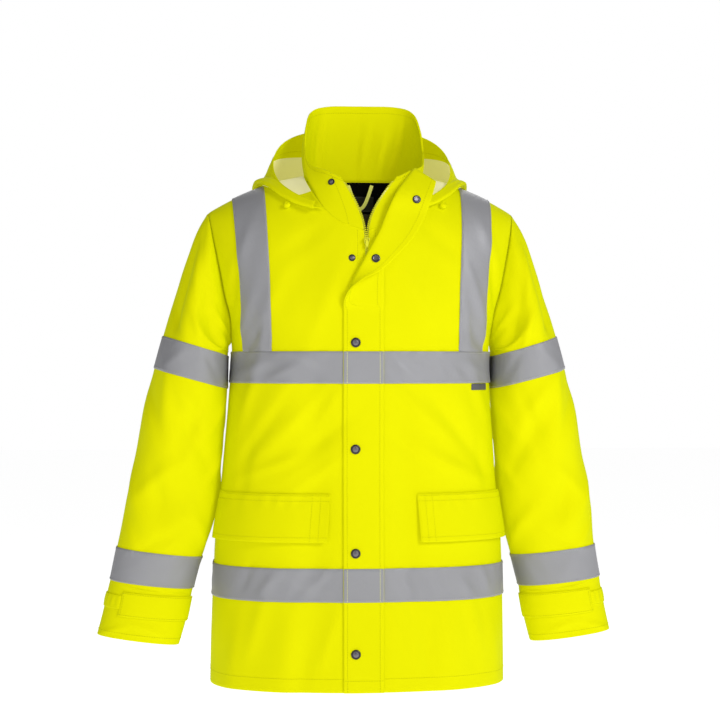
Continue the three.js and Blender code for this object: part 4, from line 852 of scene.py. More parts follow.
class Wardrobe:
    """Makes the jacket's objects, hangs them on the CAD bodies and hides the CAD nodes they stand for."""

    def __init__(self) -> None:
        """Build the shared groups and every finish."""
        weave, rumple = weave_group(), rumple_group()
        self.materials = {cloth: cloth.value.build(weave, rumple) for cloth in Cloth}
        self.count = 0

    def add(self, name: str, shape: tuple[Vec, Vec], cloth: Cloth, slot: str, replaces: Sequence[str] = (),
            body: str = "jacket", crisp: float = 55.0, grid: Optional[Sheet] = None,
            inside: Optional[Cloth] = None, inside_faces: Optional[Vec] = None) -> bpy.types.Object:
        """Make one object from millimetre vertices above the hem.

        Args:
            name: Object name.
            shape: Vertices and faces, four to a row; a repeated last vertex makes a triangle.
            cloth: Finish.
            slot: The record's material slot; not used.
            replaces: CAD nodes that it stands for.
            body: CAD body that it moves with.
            crisp: Angle in degrees above which an edge stays sharp.
            grid: The cloth's grid, whose lengths along rows and columns give its map.
            inside: Finish of the other side, if it differs.
            inside_faces: One true or false for each face, true where that finish goes.

        Returns:
            The object.
        """
        points, faces = shape
        mesh = bpy.data.meshes.new(name)
        single = faces[:, 2] == faces[:, 3]
        sizes = np.where(single, 3, 4)
        loops = faces.reshape(-1)[(np.arange(4)[None] < sizes[:, None]).reshape(-1)]
        starts = np.concatenate([[0], np.cumsum(sizes)[:-1]])
        placed = (points - [0, 0, NECK_POINT]) * MM
        mesh.vertices.add(len(points))
        mesh.vertices.foreach_set("co", placed.astype(np.float32).ravel())
        mesh.loops.add(len(loops))
        mesh.loops.foreach_set("vertex_index", loops.astype(np.int32))
        mesh.polygons.add(len(faces))
        mesh.polygons.foreach_set("loop_start", starts.astype(np.int32))
        if grid is not None:
            lengths = self.cloth_map(grid, len(points))[loops]
            mesh.uv_layers.new(name="cloth").data.foreach_set("uv", lengths.ravel())
        mesh.materials.append(self.materials[cloth])
        if inside is not None:
            mesh.materials.append(self.materials[inside])
            mesh.polygons.foreach_set("material_index", inside_faces.astype(np.int32))
        mesh.update(calc_edges=True)
        mesh.validate()
        mesh.polygons.foreach_set("use_smooth", np.ones(len(mesh.polygons), bool))
        mesh.set_sharp_from_angle(angle=math.radians(crisp))
        thing = bpy.data.objects.new(name, mesh)
        bpy.context.scene.collection.objects.link(thing)
        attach(thing, body)
        if replaces:
            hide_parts(*replaces)
        self.count += 1
        return thing

    @staticmethod
    def cloth_map(grid: Sheet, total: int) -> Vec:
        """Lengths along the rows and up the columns of a cloth wall, in metres.

        Args:
            grid: The cloth's grid.
            total: Number of vertices of the wall: two layers and its edge.

        Returns:
            One pair for each vertex; those of the edge lie at the start.
        """
        across = np.linalg.norm(np.diff(grid.point, axis=1), axis=-1).mean(0)
        up = np.linalg.norm(np.diff(grid.point, axis=0), axis=-1).mean(1)
        u = np.concatenate([[0], np.cumsum(across)])
        v = np.concatenate([[0], np.cumsum(up)])
        pairs = np.stack(np.broadcast_arrays(u[None, :], v[:, None]), -1).reshape(-1, 2) * MM
        pairs = np.concatenate([pairs, pairs])
        return np.concatenate([pairs, np.zeros((total - len(pairs), 2))]).astype(np.float32)

    def sheet(self, name: str, grid: Sheet, outer: Vec, inner: Vec, cloth: Cloth, slot: str, node: str,
              around: bool = False, inside: Optional[Cloth] = None,
              lined: Optional[Vec] = None) -> bpy.types.Object:
        """A cloth piece as a closed wall; its cut is looked up but not used.

        Args:
            name: Object name.
            grid: The piece's grid.
            outer: Distances out of the grid to the outer face.
            inner: The same to the inner face.
            cloth: Finish.
            slot: The record's material slot.
            node: CAD node that it stands for.
            around: True for a tube.
            inside: Finish of the inner side, if it differs.
            lined: Cells of the grid that have that finish; all of them if left out.

        Returns:
            The object.
        """
        shape = wall(grid.out(outer), grid.out(inner), around)
        rows, columns = grid.point.shape[:2]
        cells = (rows - 1) * (columns if around else columns - 1)
        faces = np.zeros(len(shape[1]), bool)
        faces[cells:2 * cells] = True if lined is None else lined.ravel()
        thing = self.add(name, shape, cloth, slot, (node,), grid=grid, inside=inside, inside_faces=faces)
        size = cut_of(node)
        return thing


# Cut of what shows of each piece in millimetres: width, length and area
CUTS: dict[str, tuple[float, float, float]] = {
    "front": (365, 875, 228000),
    "back": (635, 870, 467000),
    "sleeve": (530, 695, 246000),
    "collar": (640, 120, 46000),
    "hood": (560, 410, 166000),
    "hood_lining": (440, 140, 44000),
    "yoke_lining": (300, 110, 25500),
    "mesh_lining": (315, 220, 66500),
    "storm_flap": (66, 880, 53500),
    "pocket_flap_right": (220, 75, 16300),
    "pocket_flap_left": (192, 75, 14300),
    "chest_tape_right": (285, 50, 14100),
    "chest_tape_left": (285, 50, 14100),
    "chest_tape_back": (552, 50, 27300),
    "hem_tape_right": (312, 50, 15500),
    "hem_tape_left": (305, 50, 15200),
    "hem_tape_back": (621, 50, 31000),
    "chest_tape_flap": (61, 50, 3050),
    "hem_tape_flap": (61, 50, 3050),
    "brace_tape_front": (55, 322, 17000),
    "brace_tape_back": (54, 320, 16400),
    "upper_sleeve_tape": (445, 52, 23000),
    "lower_sleeve_tape": (380, 52, 19500),
    "cuff_tab": (132, 39, 5100),
    "cuff_strap": (137, 22, 2900),
    "hanger_loop": (10, 87, 410),
    "zip_tape": (13, 685, 8800),
    "neck_label": (48, 27, 1290),
    "side_label": (44, 10, 435),
}


def cut_of(node: str) -> tuple[float, float, float]:
    """Width, length and area of a node's cut; both sides of the jacket share one entry."""
    return CUTS[node] if node in CUTS else CUTS[node.replace("_right", "").replace("_left", "")]


@dataclass
class Body:
    """Front and back panels, body tapes, sewing and the lining that shows in the neck."""

    rows_between: float = 4.6
    columns_each: int = 6
    upper_each: int = 8
    seam_depth: float = 1.1
    front: dict[Side, Sheet] = field(default_factory=dict)
    back: Optional[Sheet] = None
    knots: dict[float, int] = field(default_factory=dict)

    def __post_init__(self) -> None:
        """Work the panels' grids out."""
        self.rows_between *= FINE
        self.columns_each //= FINE
        self.upper_each //= FINE
        heights = [float(BODY_ROWS[0])]
        self.knots = {0.0: 0}
        for low, high in zip(BODY_ROWS, BODY_ROWS[1:]):
            steps = max(round((high - low) / self.rows_between), 1)
            heights.extend(np.linspace(low, high, steps + 1)[1:])
            self.knots[float(high)] = len(heights) - 1
        self.heights = np.array(heights)
        for side in Side:
            self.front[side] = self.half("front", side, FRONT_COUNTS, ZIP_EDGE)
        halves = {side: self.half("back", side, BACK_COUNTS, CENTRE_LINE) for side in Side}
        self.back_half = halves
        self.back = Sheet(*(np.concatenate([getattr(halves[Side.RIGHT], key)[:, :0:-1],
                                            getattr(halves[Side.LEFT], key)], 1) for key in ("point", "normal")))

    def column_x(self, side: Side, counts: Sequence[int], first: Table, z: Vec) -> Vec:
        """Distance across of every column at heights.

        Columns are evenly spaced in the section's angle between the panel's key lines.

        Args:
            side: Side of the panel.
            counts: Steps between the key lines.
            first: The panel's innermost line.
            z: Heights, rows by columns.

        Returns:
            Places across with the side's sign.
        """
        n = SECTION_POWER
        shift = TORSO.read(z, "shift") * side.value
        half = TORSO.read(z, "half")
        outer = np.where(z <= ARMPIT, half + shift, ARMHOLE.read(z, "x"))
        keys = [first.read(z, "x"), NECK_COLUMN.read(z, "x"), BRACE_IN.read(z, "x"), BRACE_OUT.read(z, "x"), outer]
        angles = [np.arcsin(np.clip((key - shift) / half, 0, 1) ** (n / 2)) for key in keys]
        steps = np.array(counts) * self.columns_each
        starts = np.concatenate([[0], np.cumsum(steps)])
        column = np.broadcast_to(np.arange(starts[-1] + 1), z.shape)
        x = keys[0].copy()
        for k, count in enumerate(steps):
            share = (column - starts[k]) / count
            angle = lerp(angles[k], angles[k + 1], share)
            inside = (column > starts[k]) & (column < starts[k + 1])
            x = np.where(inside, shift + half * np.sin(np.clip(angle, 0, None)) ** (2 / n), x)
            x = np.where(column == starts[k + 1], keys[k + 1], x)
        return x * side.value

    @staticmethod
    def top_edge(face: str, x: Vec) -> Vec:
        """Height of a panel's top edge: neckline inside the neck point, shoulder ridge outside."""
        distance = np.abs(x)
        neckline = (NECK_FRONT if face == "front" else NECK_BACK).read(distance, "z")
        return np.where(distance < NECK_HALF, neckline, ridge(distance))

    def half(self, face: str, side: Side, counts: Sequence[int], first: Table) -> Sheet:
        """One half of a panel from hem to top, columns outwards.

        Args:
            face: "front" or "back".
            side: Side of the panel.
            counts: Steps between its key lines.
            first: Its innermost line.

        Returns:
            The grid.
        """
        columns = sum(counts) * self.columns_each + 1
        flat_z = np.broadcast_to(self.heights[:, None], (len(self.heights), columns))
        rows = UPPER_ROWS * self.upper_each
        share = np.sin(np.arange(1, rows + 1) / rows * math.pi / 2)[:, None] ** ROW_EASE
        z = lerp(ARMPIT, TABLE_TOP, np.broadcast_to(share, (rows, columns)))
        for _ in range(8):
            top = self.top_edge(face, self.column_x(side, counts, first, lerp(z, TABLE_TOP, 0.5)))
            x = self.column_x(side, counts, first, np.minimum(top, TABLE_TOP + 20))
            z = lerp(ARMPIT, self.top_edge(face, x), share)
        z = np.concatenate([flat_z, z])
        point, normal = torso(face, self.column_x(side, counts, first, z), z)
        from_side = np.arange(columns - 1, -1, -1)[None] / self.columns_each * 12
        from_top = np.arange(len(z) - 1, -1, -1)[:, None] * 4.0
        press = self.seam_depth * np.exp(-((from_side / 4) ** 2)) * np.ones_like(from_top)
        ridge_seam = self.seam_depth * np.exp(-((from_top / 5) ** 2)) * (np.abs(point[..., 0]) > NECK_HALF)
        return Sheet(point - normal * np.maximum(press, ridge_seam)[..., None], normal)

    def row(self, z: float) -> int:
        """Row number of a height that is a row of the solid."""
        return self.knots[float(z)]

    def edge_point(self, face: str, side: Vec, distance: Vec) -> Vec:
        """Points of the panels' top edge.

        Args:
            face: "front" or "back".
            side: Signs of X.
            distance: Distances from the centre.

        Returns:
            Points.
        """
        result = np.zeros(np.shape(distance) + (3,))
        for which in Side:
            grid = self.front[which] if face == "front" else self.back_half[which]
            edge = grid.point[-1]
            there = np.stack([np.interp(distance, np.abs(edge[:, 0]), edge[:, k]) for k in range(3)], -1)
            result = np.where((np.asarray(side) == which.value)[..., None], there, result)
        return result

    def build(self, wardrobe: Wardrobe) -> None:
        """Make the panels, tapes, lining and their sewing."""
        last = self.front[Side.LEFT].point.shape[1] - 1
        for side in Side:
            grid = self.front[side]
            wardrobe.sheet(f"front_{side.word}_cloth", grid, 0, -CLOTH, Cloth.YELLOW, "shell",
                           f"front_{side.word}", inside=Cloth.YELLOW_INSIDE)
        wardrobe.sheet("back_cloth", self.back, 0, -CLOTH, Cloth.YELLOW, "shell", "back",
                       inside=Cloth.YELLOW_INSIDE)
        yellow, grey = [], []
        panels = [(f"_{side.word}", self.front[side]) for side in Side] + [("_back", self.back)]
        for band, low, high in (("chest", 477, 526), ("hem", 139, 190)):
            for word, grid in panels:
                part = grid.part((self.row(low), self.row(high)), (0, grid.point.shape[1] - 1))
                node = f"{band}_tape{word}"
                wrinkle = self.tape_wrinkle(part)
                strip = Sheet(part.out(wrinkle), part.normal)
                wardrobe.sheet(f"{node}_strip", strip,
                               GAP + TAPE, GAP, Cloth.SILVER, "reflective_tape", node)
                lifted = Sheet(part.out(wrinkle + GAP + TAPE), part.normal)
                for edge in (0.55, part.point.shape[0] - 1.55):
                    line = lifted.along_row(edge)
                    grey.append(stitches(line.point, line.normal))
        self.braces(wardrobe, grey)
        for side in Side:
            grid = self.front[side]
            for row in (self.row(0) + 4.4,):
                line = grid.along_row(row)
                yellow.append(stitches(line.point, line.normal))
            seam = grid.part((0, self.row(540)), (0, last)).along_column(last - 0.5)
            yellow.append(stitches(seam.point, seam.normal))
            for column in (last - 0.9,):
                arm = grid.part((self.row(540), len(grid.point) - 1), (0, last)).along_column(column)
                yellow.append(stitches(arm.point, arm.normal))
        line = self.back.along_row(self.row(0) + 4.4)
        yellow.append(stitches(line.point, line.normal))
        for side in Side:
            z = np.linspace(600 if side is Side.RIGHT else 690, 716, 40)
            point, normal = torso("front", np.full(40, side.value * 14.0), z)
            yellow.append(stitches(point, normal))
        wardrobe.add("body_sewing", join(yellow), Cloth.YELLOW_THREAD, "shell")
        wardrobe.add("tape_sewing", join(grey), Cloth.GREY_THREAD, "reflective_tape")
        self.lining(wardrobe)

    @staticmethod
    def tape_wrinkle(part: Sheet) -> Vec:
        """Small puckers of a sewn tape: uneven ripples that fade from its edges to its middle.

        Args:
            part: Grid of the tape.

        Returns:
            Heights in millimetres, never below the cloth.
        """
        rows = part.point.shape[0]
        x = part.point[..., 0] + part.point[..., 1] * 0.7
        z = part.point[..., 2]
        v = np.linspace(0, 1, rows)[:, None]
        ripple = np.sin(x / 5.2 + 2.2 * np.sin(x / 31)) * (0.6 + 0.4 * np.sin(x / 23 + 1))
        slant = np.sin((x + 1.1 * z) / 9.0 + 1.7 * np.sin(x / 41)) * np.clip(np.sin(x / 37 + 0.6), 0, 1)
        edge = np.exp(-((v / 0.22) ** 2)) + np.exp(-(((1 - v) / 0.22) ** 2))
        return 0.8 + 0.72 * ripple * edge + 0.75 * slant * np.sin(math.pi * v)

    def braces(self, wardrobe: Wardrobe, grey: list[tuple[Vec, Vec]]) -> None:
        """Tapes over the shoulders.

        Args:
            wardrobe: Maker of objects.
            grey: List that their sewing is added to.
        """
        k = self.columns_each
        start = self.row(526)
        middle = sum(BACK_COUNTS) * k
        front = (6 * k, 8 * k)
        back = (4 * k, 6 * k)
        for side in Side:
            first, last = (back[0], back[1]) if side is Side.LEFT else (-back[1], -back[0])
            shown = (middle + first, middle + last)
            for word, grid, columns in (("front", self.front[side], front), ("back", self.back, shown)):
                part = grid.part((start, grid.point.shape[0] - 1), columns)
                part.point[0] = lerp(part.point[0], part.point[1], 0.1)
                node = f"brace_tape_{word}_{side.word}"
                wrinkle = np.full(part.point.shape[:2], 0.65)
                z = part.point[..., 2]
                x = part.point[..., 0]
                low = np.clip((640 - z) / 100, 0, 1)
                wrinkle += 0.62 * low * np.sin(z / 6.5 + 0.12 * x + np.sin(z / 17))
                lifted = Sheet(part.out(wrinkle), part.normal)
                wardrobe.sheet(f"{node}_strip", lifted, GAP + TAPE, GAP, Cloth.SILVER, "reflective_tape",
                               node)
                for column in (0.45, part.point.shape[1] - 1.45):
                    line = lifted.along_column(column)
                    grey.append(stitches(line.point + line.normal * (GAP + TAPE), line.normal))

    def lining(self, wardrobe: Wardrobe) -> None:
        """Black yoke and grey mesh inside the back of the neck."""
        k = self.columns_each
        middle = sum(BACK_COUNTS) * k
        columns = (middle - 4 * k, middle + 4 * k)
        split = len(self.heights) - 1 + round(4.8 * self.upper_each)
        last = self.back.point.shape[0] - 1
        below = -CLOTH - GAP
        for node, rows, cloth, slot in (("yoke_lining", (split, last), Cloth.BLACK, "black_lining"),
                                        ("mesh_lining", (self.row(540), split), Cloth.MESH, "mesh")):
            part = self.back.part(rows, columns)
            if node == "mesh_lining":
                part.point[-1] = lerp(part.point[-1], part.point[-2], 0.1)
            wardrobe.sheet(f"{node}_cloth", part, below, below - LINING, cloth, slot, node)


@dataclass
class Sleeve:
    """One sleeve with its tapes, cuff tab, strap and sewing."""

    side: Side
    around: int = 120
    between: int = 15

    def rings(self, angle: Vec) -> Vec:
        """Points of the armhole seam and of the thirteen rings at angles.

        Args:
            angle: Angles round the sleeve, 0 outwards and 90 degrees in front.

        Returns:
            Array of rings by angles.
        """
        side = self.side.value
        power = 2 / SLEEVE_POWER
        across = np.sign(np.cos(angle)) * np.abs(np.cos(angle)) ** power
        deep = np.sign(np.sin(angle)) * np.abs(np.sin(angle)) ** power
        z = (SHOULDER_POINT + ARMPIT) / 2 + (SHOULDER_POINT - ARMPIT) / 2 * across
        x = ARMHOLE.read(z, "x") * side
        front = (np.sin(angle) >= 0)[:, None]
        start = np.where(front, torso("front", x, z)[0], torso("back", x, z)[0])
        start[:, 1] = np.where(np.abs(np.sin(angle)) < 1e-6, 0, start[:, 1])
        start[:, 0] += side * 0.15
        k = np.arange(1, SLEEVE_LAST + 1)
        read = lambda name: SLEEVE_RINGS.column(name)[:, None]
        share = (1 - across)[None] / 2
        inward = LEFT_ARM_IN.read(k, "x")[:, None] if side > 0 else 0.0
        inner = read("inX") - ARM_TO_BODY.read(k, self.side.word)[:, None]
        points = stack(side * (lerp(read("outX"), inner, share) - inward),
                       read("y") - read("depth") * deep[None], lerp(read("outZ"), read("inZ"), share))
        return np.concatenate([start[None], points])

    def surface(self, v: Vec, angle: Vec) -> Sheet:
        """The sleeve's surface with its folds.

        Args:
            v: Ring numbers, which need not be whole.
            angle: Angles round the sleeve.

        Returns:
            Grid with a row for each ring number.
        """
        rings = self.rings(angle)

        def at(place: Vec) -> Vec:
            """Smooth points between the rings."""
            i = np.clip(place.astype(int), 0, SLEEVE_LAST - 1)
            t = (place - i)[:, None, None]
            p0, p1, p2, p3 = (rings[np.clip(i + k, 0, SLEEVE_LAST)] for k in (-1, 0, 1, 2))
            start, end, rise = (p2 - p0) / 2, (p3 - p1) / 2, p2 - p1
            return p1 + t * (start + t * (3 * rise - 2 * start - end + t * (start + end - 2 * rise)))

        point = at(v)
        normal = grid_normals(point, True)
        centre = point.mean(1, keepdims=True)
        normal *= np.sign(((point - centre) * normal).sum(-1, keepdims=True))
        normal[0, :, 0] = 0
        normal = unit(normal)
        turn = np.degrees(angle)[None, :, None]
        round_ = (turn - SLEEVE_FOLDS.column("round") + 180) % 360 - 180
        u = round_ / SLEEVE_FOLDS.column("wide")
        along = (v[:, None, None] - SLEEVE_FOLDS.column("ring") - u * SLEEVE_FOLDS.column("twist") / 60)
        along = along / SLEEVE_FOLDS.column("tall")
        lift = (SLEEVE_FOLDS.column("height") * np.exp(-u * u - along * along)).sum(-1)
        pucker = np.exp(-((v / 0.35) ** 2))[:, None] * np.sin(angle * 23 + 2 * np.sin(angle * 3))[None]
        start = np.clip(v / 0.3, 0, 1)[:, None]
        seam = 1.3 * np.exp(-((v / 0.12) ** 2))[:, None]
        return Sheet(point + normal * (lift * start + 0.5 * pucker * start - seam)[..., None], normal)

    def build(self, wardrobe: Wardrobe) -> None:
        """Make the sleeve and everything sewn on it."""
        word = self.side.word
        around = self.around // FINE
        between = max(self.between // FINE, 5)
        angle = np.linspace(0, 2 * math.pi, around, endpoint=False)
        v = np.linspace(0, SLEEVE_LAST, SLEEVE_LAST * between + 1)
        grid = self.surface(v, angle)
        wardrobe.sheet(f"sleeve_{word}_cloth", grid, 0, -CLOTH, Cloth.YELLOW, "shell", f"sleeve_{word}",
                       True, inside=Cloth.YELLOW_INSIDE)
        sewing, grey = [], []
        for node, low, high in (("upper_sleeve_tape", 4, 5), ("lower_sleeve_tape", 9, 10)):
            rings = slice(low * between, high * between + 1)
            part = Sheet(grid.point[rings], grid.normal[rings])
            length = len(part.point)
            share = np.linspace(0, 1, length)[:, None]
            ripple = np.sin(angle * 37 + 3 * np.sin(angle * 5))[None]
            edge = np.exp(-((share / 0.2) ** 2)) + np.exp(-(((1 - share) / 0.2) ** 2))
            lifted = Sheet(part.out(0.35 + 0.16 * ripple * edge), part.normal)
            wardrobe.sheet(f"{node}_{word}_strip", lifted, GAP + TAPE, GAP, Cloth.SILVER, "reflective_tape",
                           f"{node}_{word}", True)
            for row in (0.7, length - 1.7):
                line = lifted.along_row(row)
                grey.append(stitches(line.point + line.normal * (GAP + TAPE), line.normal, closed=True))
        for row in (0.45, SLEEVE_LAST * between - 5.0):
            line = grid.along_row(row)
            sewing.append(stitches(line.point, line.normal, closed=True))
        self.cuff(wardrobe, sewing)
        wardrobe.add(f"sleeve_sewing_{word}", join(sewing), Cloth.YELLOW_THREAD, "shell")
        wardrobe.add(f"sleeve_tape_sewing_{word}", join(grey), Cloth.GREY_THREAD, "reflective_tape")

    def cuff(self, wardrobe: Wardrobe, sewing: list[tuple[Vec, Vec]]) -> None:
        """Tab on the front of the cuff and the ribbed strap round its outer side.

        Args:
            wardrobe: Maker of objects.
            sewing: List that the sewing is added to.
        """
        word = self.side.word
        side_angle = 2 * math.pi / 20
        tab = self.surface(np.linspace(11, 12, 19), np.linspace(3, 10, 57) * side_angle)
        tab.normal = self.outward(tab)
        u = np.linspace(0, 1, 57)[None]
        w = np.linspace(0, 1, 19)[:, None]
        corner = np.minimum(np.minimum(u * 7, 1), np.minimum(np.minimum(w * 5, (1 - w) * 5), 1))
        lift = GAP + 0.5 + 0.5 * np.sqrt(np.clip(corner, 0, 1))
        wardrobe.sheet(f"cuff_tab_{word}_cloth", tab, lift + 1.3, lift, Cloth.YELLOW, "shell",
                       f"cuff_tab_{word}")
        top = Sheet(tab.out(lift + 1.3), tab.normal)
        for row in (1.2, 16.8):
            line = top.along_row(row)
            sewing.append(stitches(line.point, line.normal))
        line = top.along_column(1.6)
        sewing.append(stitches(line.point, line.normal))
        strap = self.surface(np.linspace(11.2, 11.72, 15), np.linspace(-5, 2.96, 81) * side_angle)
        strap.normal = self.outward(strap)
        rib = 0.45 * (1 + np.sin(np.linspace(0, 81 * 0.9, 81)))[None] * np.sin(np.linspace(0.15, 3, 15))[:, None]
        wardrobe.sheet(f"cuff_strap_{word}_cloth", strap, GAP + 1.3 + rib, GAP, Cloth.YELLOW, "shell",
                       f"cuff_strap_{word}")

    def outward(self, grid: Sheet) -> Vec:
        """Normals of an open part of the sleeve, turned away from its middle."""
        normal = grid_normals(grid.point)
        middle = self.surface(np.array([11.0, 11.5, 12.0]), np.linspace(0, 2 * math.pi, 24, endpoint=False))
        centre = middle.point.mean((0, 1))
        sign = np.sign(((grid.point - centre) * normal).sum(-1, keepdims=True))
        return normal * np.where(sign == 0, 1, sign)


@dataclass
class Collar:
    """Standing collar with its ends opened at the zip."""

    body: Body
    stations: int = 180
    rises: int = 36

    def point(self, station: Vec, rise: Vec) -> Vec:
        """Point of the collar's outer face.

        Args:
            station: -1 at the wearer's right front end, 0 at the centre back, 1 at the left end.
            rise: 0 at the foot and 1 at the top edge.

        Returns:
            Points.
        """
        station, rise = np.broadcast_arrays(station, rise)
        side = np.where(station < 0, -1, 1)
        at = 1 - np.abs(station)
        foot_x = COLLAR.read(at, "footX")
        foot = np.where((at < 0.5)[..., None], self.body.edge_point("front", side, foot_x),
                        self.body.edge_point("back", side, foot_x))
        top = stack(side * COLLAR.read(at, "topX") + COLLAR_SHIFT, COLLAR.read(at, "topY"),
                    COLLAR.read(at, "topZ"))
        outward = unit((foot + top) * [1, 1, 0])
        start = foot + [0, 0, 3 * GAP]
        near_end = np.maximum(0, 1 - (1 - np.abs(station)) / FLARE_REACH)
        flared = rise ** (1 + FLARE_POWER * near_end)
        point = lerp(start, top, rise[..., None])
        point[..., 0] = lerp(start[..., 0], top[..., 0], flared)
        return point + outward * (COLLAR_BULGE * np.sin(math.pi * rise) * (1 - near_end))[..., None]

    def grid(self) -> Sheet:
        """The collar's outer face with its soft upright folds."""
        station = np.linspace(-1, 1, self.stations // FINE + 1)[None]
        rise = np.linspace(0, 1, self.rises // FINE + 1)[:, None]
        point = self.point(station, rise)
        normal = -grid_normals(point)
        folds = 0.0
        for at, wide, low, tall, height in (
                (-0.25, 0.022, 0.6, 0.5, 2.8), (-0.205, 0.025, 0.55, 0.5, -1.8), (0.255, 0.022, 0.4, 0.4, 2.6),
                (0.215, 0.022, 0.4, 0.4, -1.9), (0.03, 0.018, 0.45, 0.25, -2.2), (0.065, 0.022, 0.4, 0.3, 1.8),
                (0.125, 0.016, 0.35, 0.25, -2.0), (0.15, 0.014, 0.25, 0.2, 1.8), (0.18, 0.014, 0.15, 0.14, -1.8),
                (-0.1, 0.05, 0.5, 0.5, 1.4), (-0.36, 0.03, 0.5, 0.4, -1.2), (0.38, 0.03, 0.5, 0.4, -1.2),
                (-0.46, 0.03, 0.4, 0.35, 1.2), (0.47, 0.03, 0.45, 0.35, 1.2), (-0.02, 0.025, 0.2, 0.2, 1.2)):
            folds = folds + height * np.exp(-(((station - at - 0.05 * (rise - low)) / wide) ** 2)
                                            - ((rise - low) / tall) ** 2)
        fade = np.sin(math.pi * np.clip(rise, 0, 1)) ** 0.6
        return Sheet(point + normal * (folds * fade)[..., None], normal)

    def build(self, wardrobe: Wardrobe) -> None:
        """Make the collar and its topstitching."""
        grid = self.grid()
        rows, columns = grid.point.shape[:2]
        u = np.linspace(0, 1, columns)[None]
        v = np.linspace(0, 1, rows)[:, None]
        groove = np.exp(-(((1 - v) * 110 - 9) / 2.2) ** 2)
        inner = Sheet(grid.out(-COLLAR_WALL), grid.normal)
        inner.point[0, :, 2] = np.maximum(inner.point[0, :, 2], grid.point[0, :, 2])
        outer = grid.out(-0.35 * groove * np.ones_like(u))
        lined = inner.point + grid.normal * (0.35 * groove * np.ones_like(u))[..., None]
        shape = wall(outer, lined)
        thing = wardrobe.add("collar_cloth", shape, Cloth.YELLOW, "shell", ("collar",), grid=grid)
        sewing = []
        row = rows - 1 - 0.08 * (rows - 1)
        for face in (Sheet(outer, grid.normal), Sheet(lined, -grid.normal)):
            line = face.along_row(row)
            sewing.append(stitches(line.point, line.normal))
            for column in (0.075 * (columns - 1) * 0.5, (columns - 1) * (1 - 0.0375)):
                line = face.along_column(column)
                sewing.append(stitches(line.point, line.normal))
        wardrobe.add("collar_sewing", join(sewing), Cloth.YELLOW_THREAD, "shell")


def clear_of_body(point: Vec, clearance: Vec) -> Vec:
    """Points pushed out until they are clear of the body's round at the same place across.

    Args:
        point: Points, one to a row.
        clearance: Distance for each.

    Returns:
        The points, moved.
    """
    point = point.copy()
    share = np.sin(np.arange(SEAT_SAMPLES + 1) / SEAT_SAMPLES * math.pi / 2) ** (2 / SECTION_POWER)
    for face in ("front", "back"):
        mine = point[:, 1] < 0 if face == "front" else point[:, 1] >= 0
        for _ in range(2):
            here = point[mine]
            z = lerp(ROUND_START, (ridge(here[:, 0]) - GAP)[:, None], share[None])
            skin, normal = torso(face, np.broadcast_to(here[:, :1], z.shape), z)
            nearest = np.linalg.norm(here[:, None] - skin, axis=-1).argmin(1)
            pick = np.arange(len(here))
            near = ((here - skin[pick, nearest]) * normal[pick, nearest]).sum(-1)
            push = np.maximum(clearance[mine] - near, 0)
            point[mine] = here + normal[pick, nearest] * push[:, None]
    return point


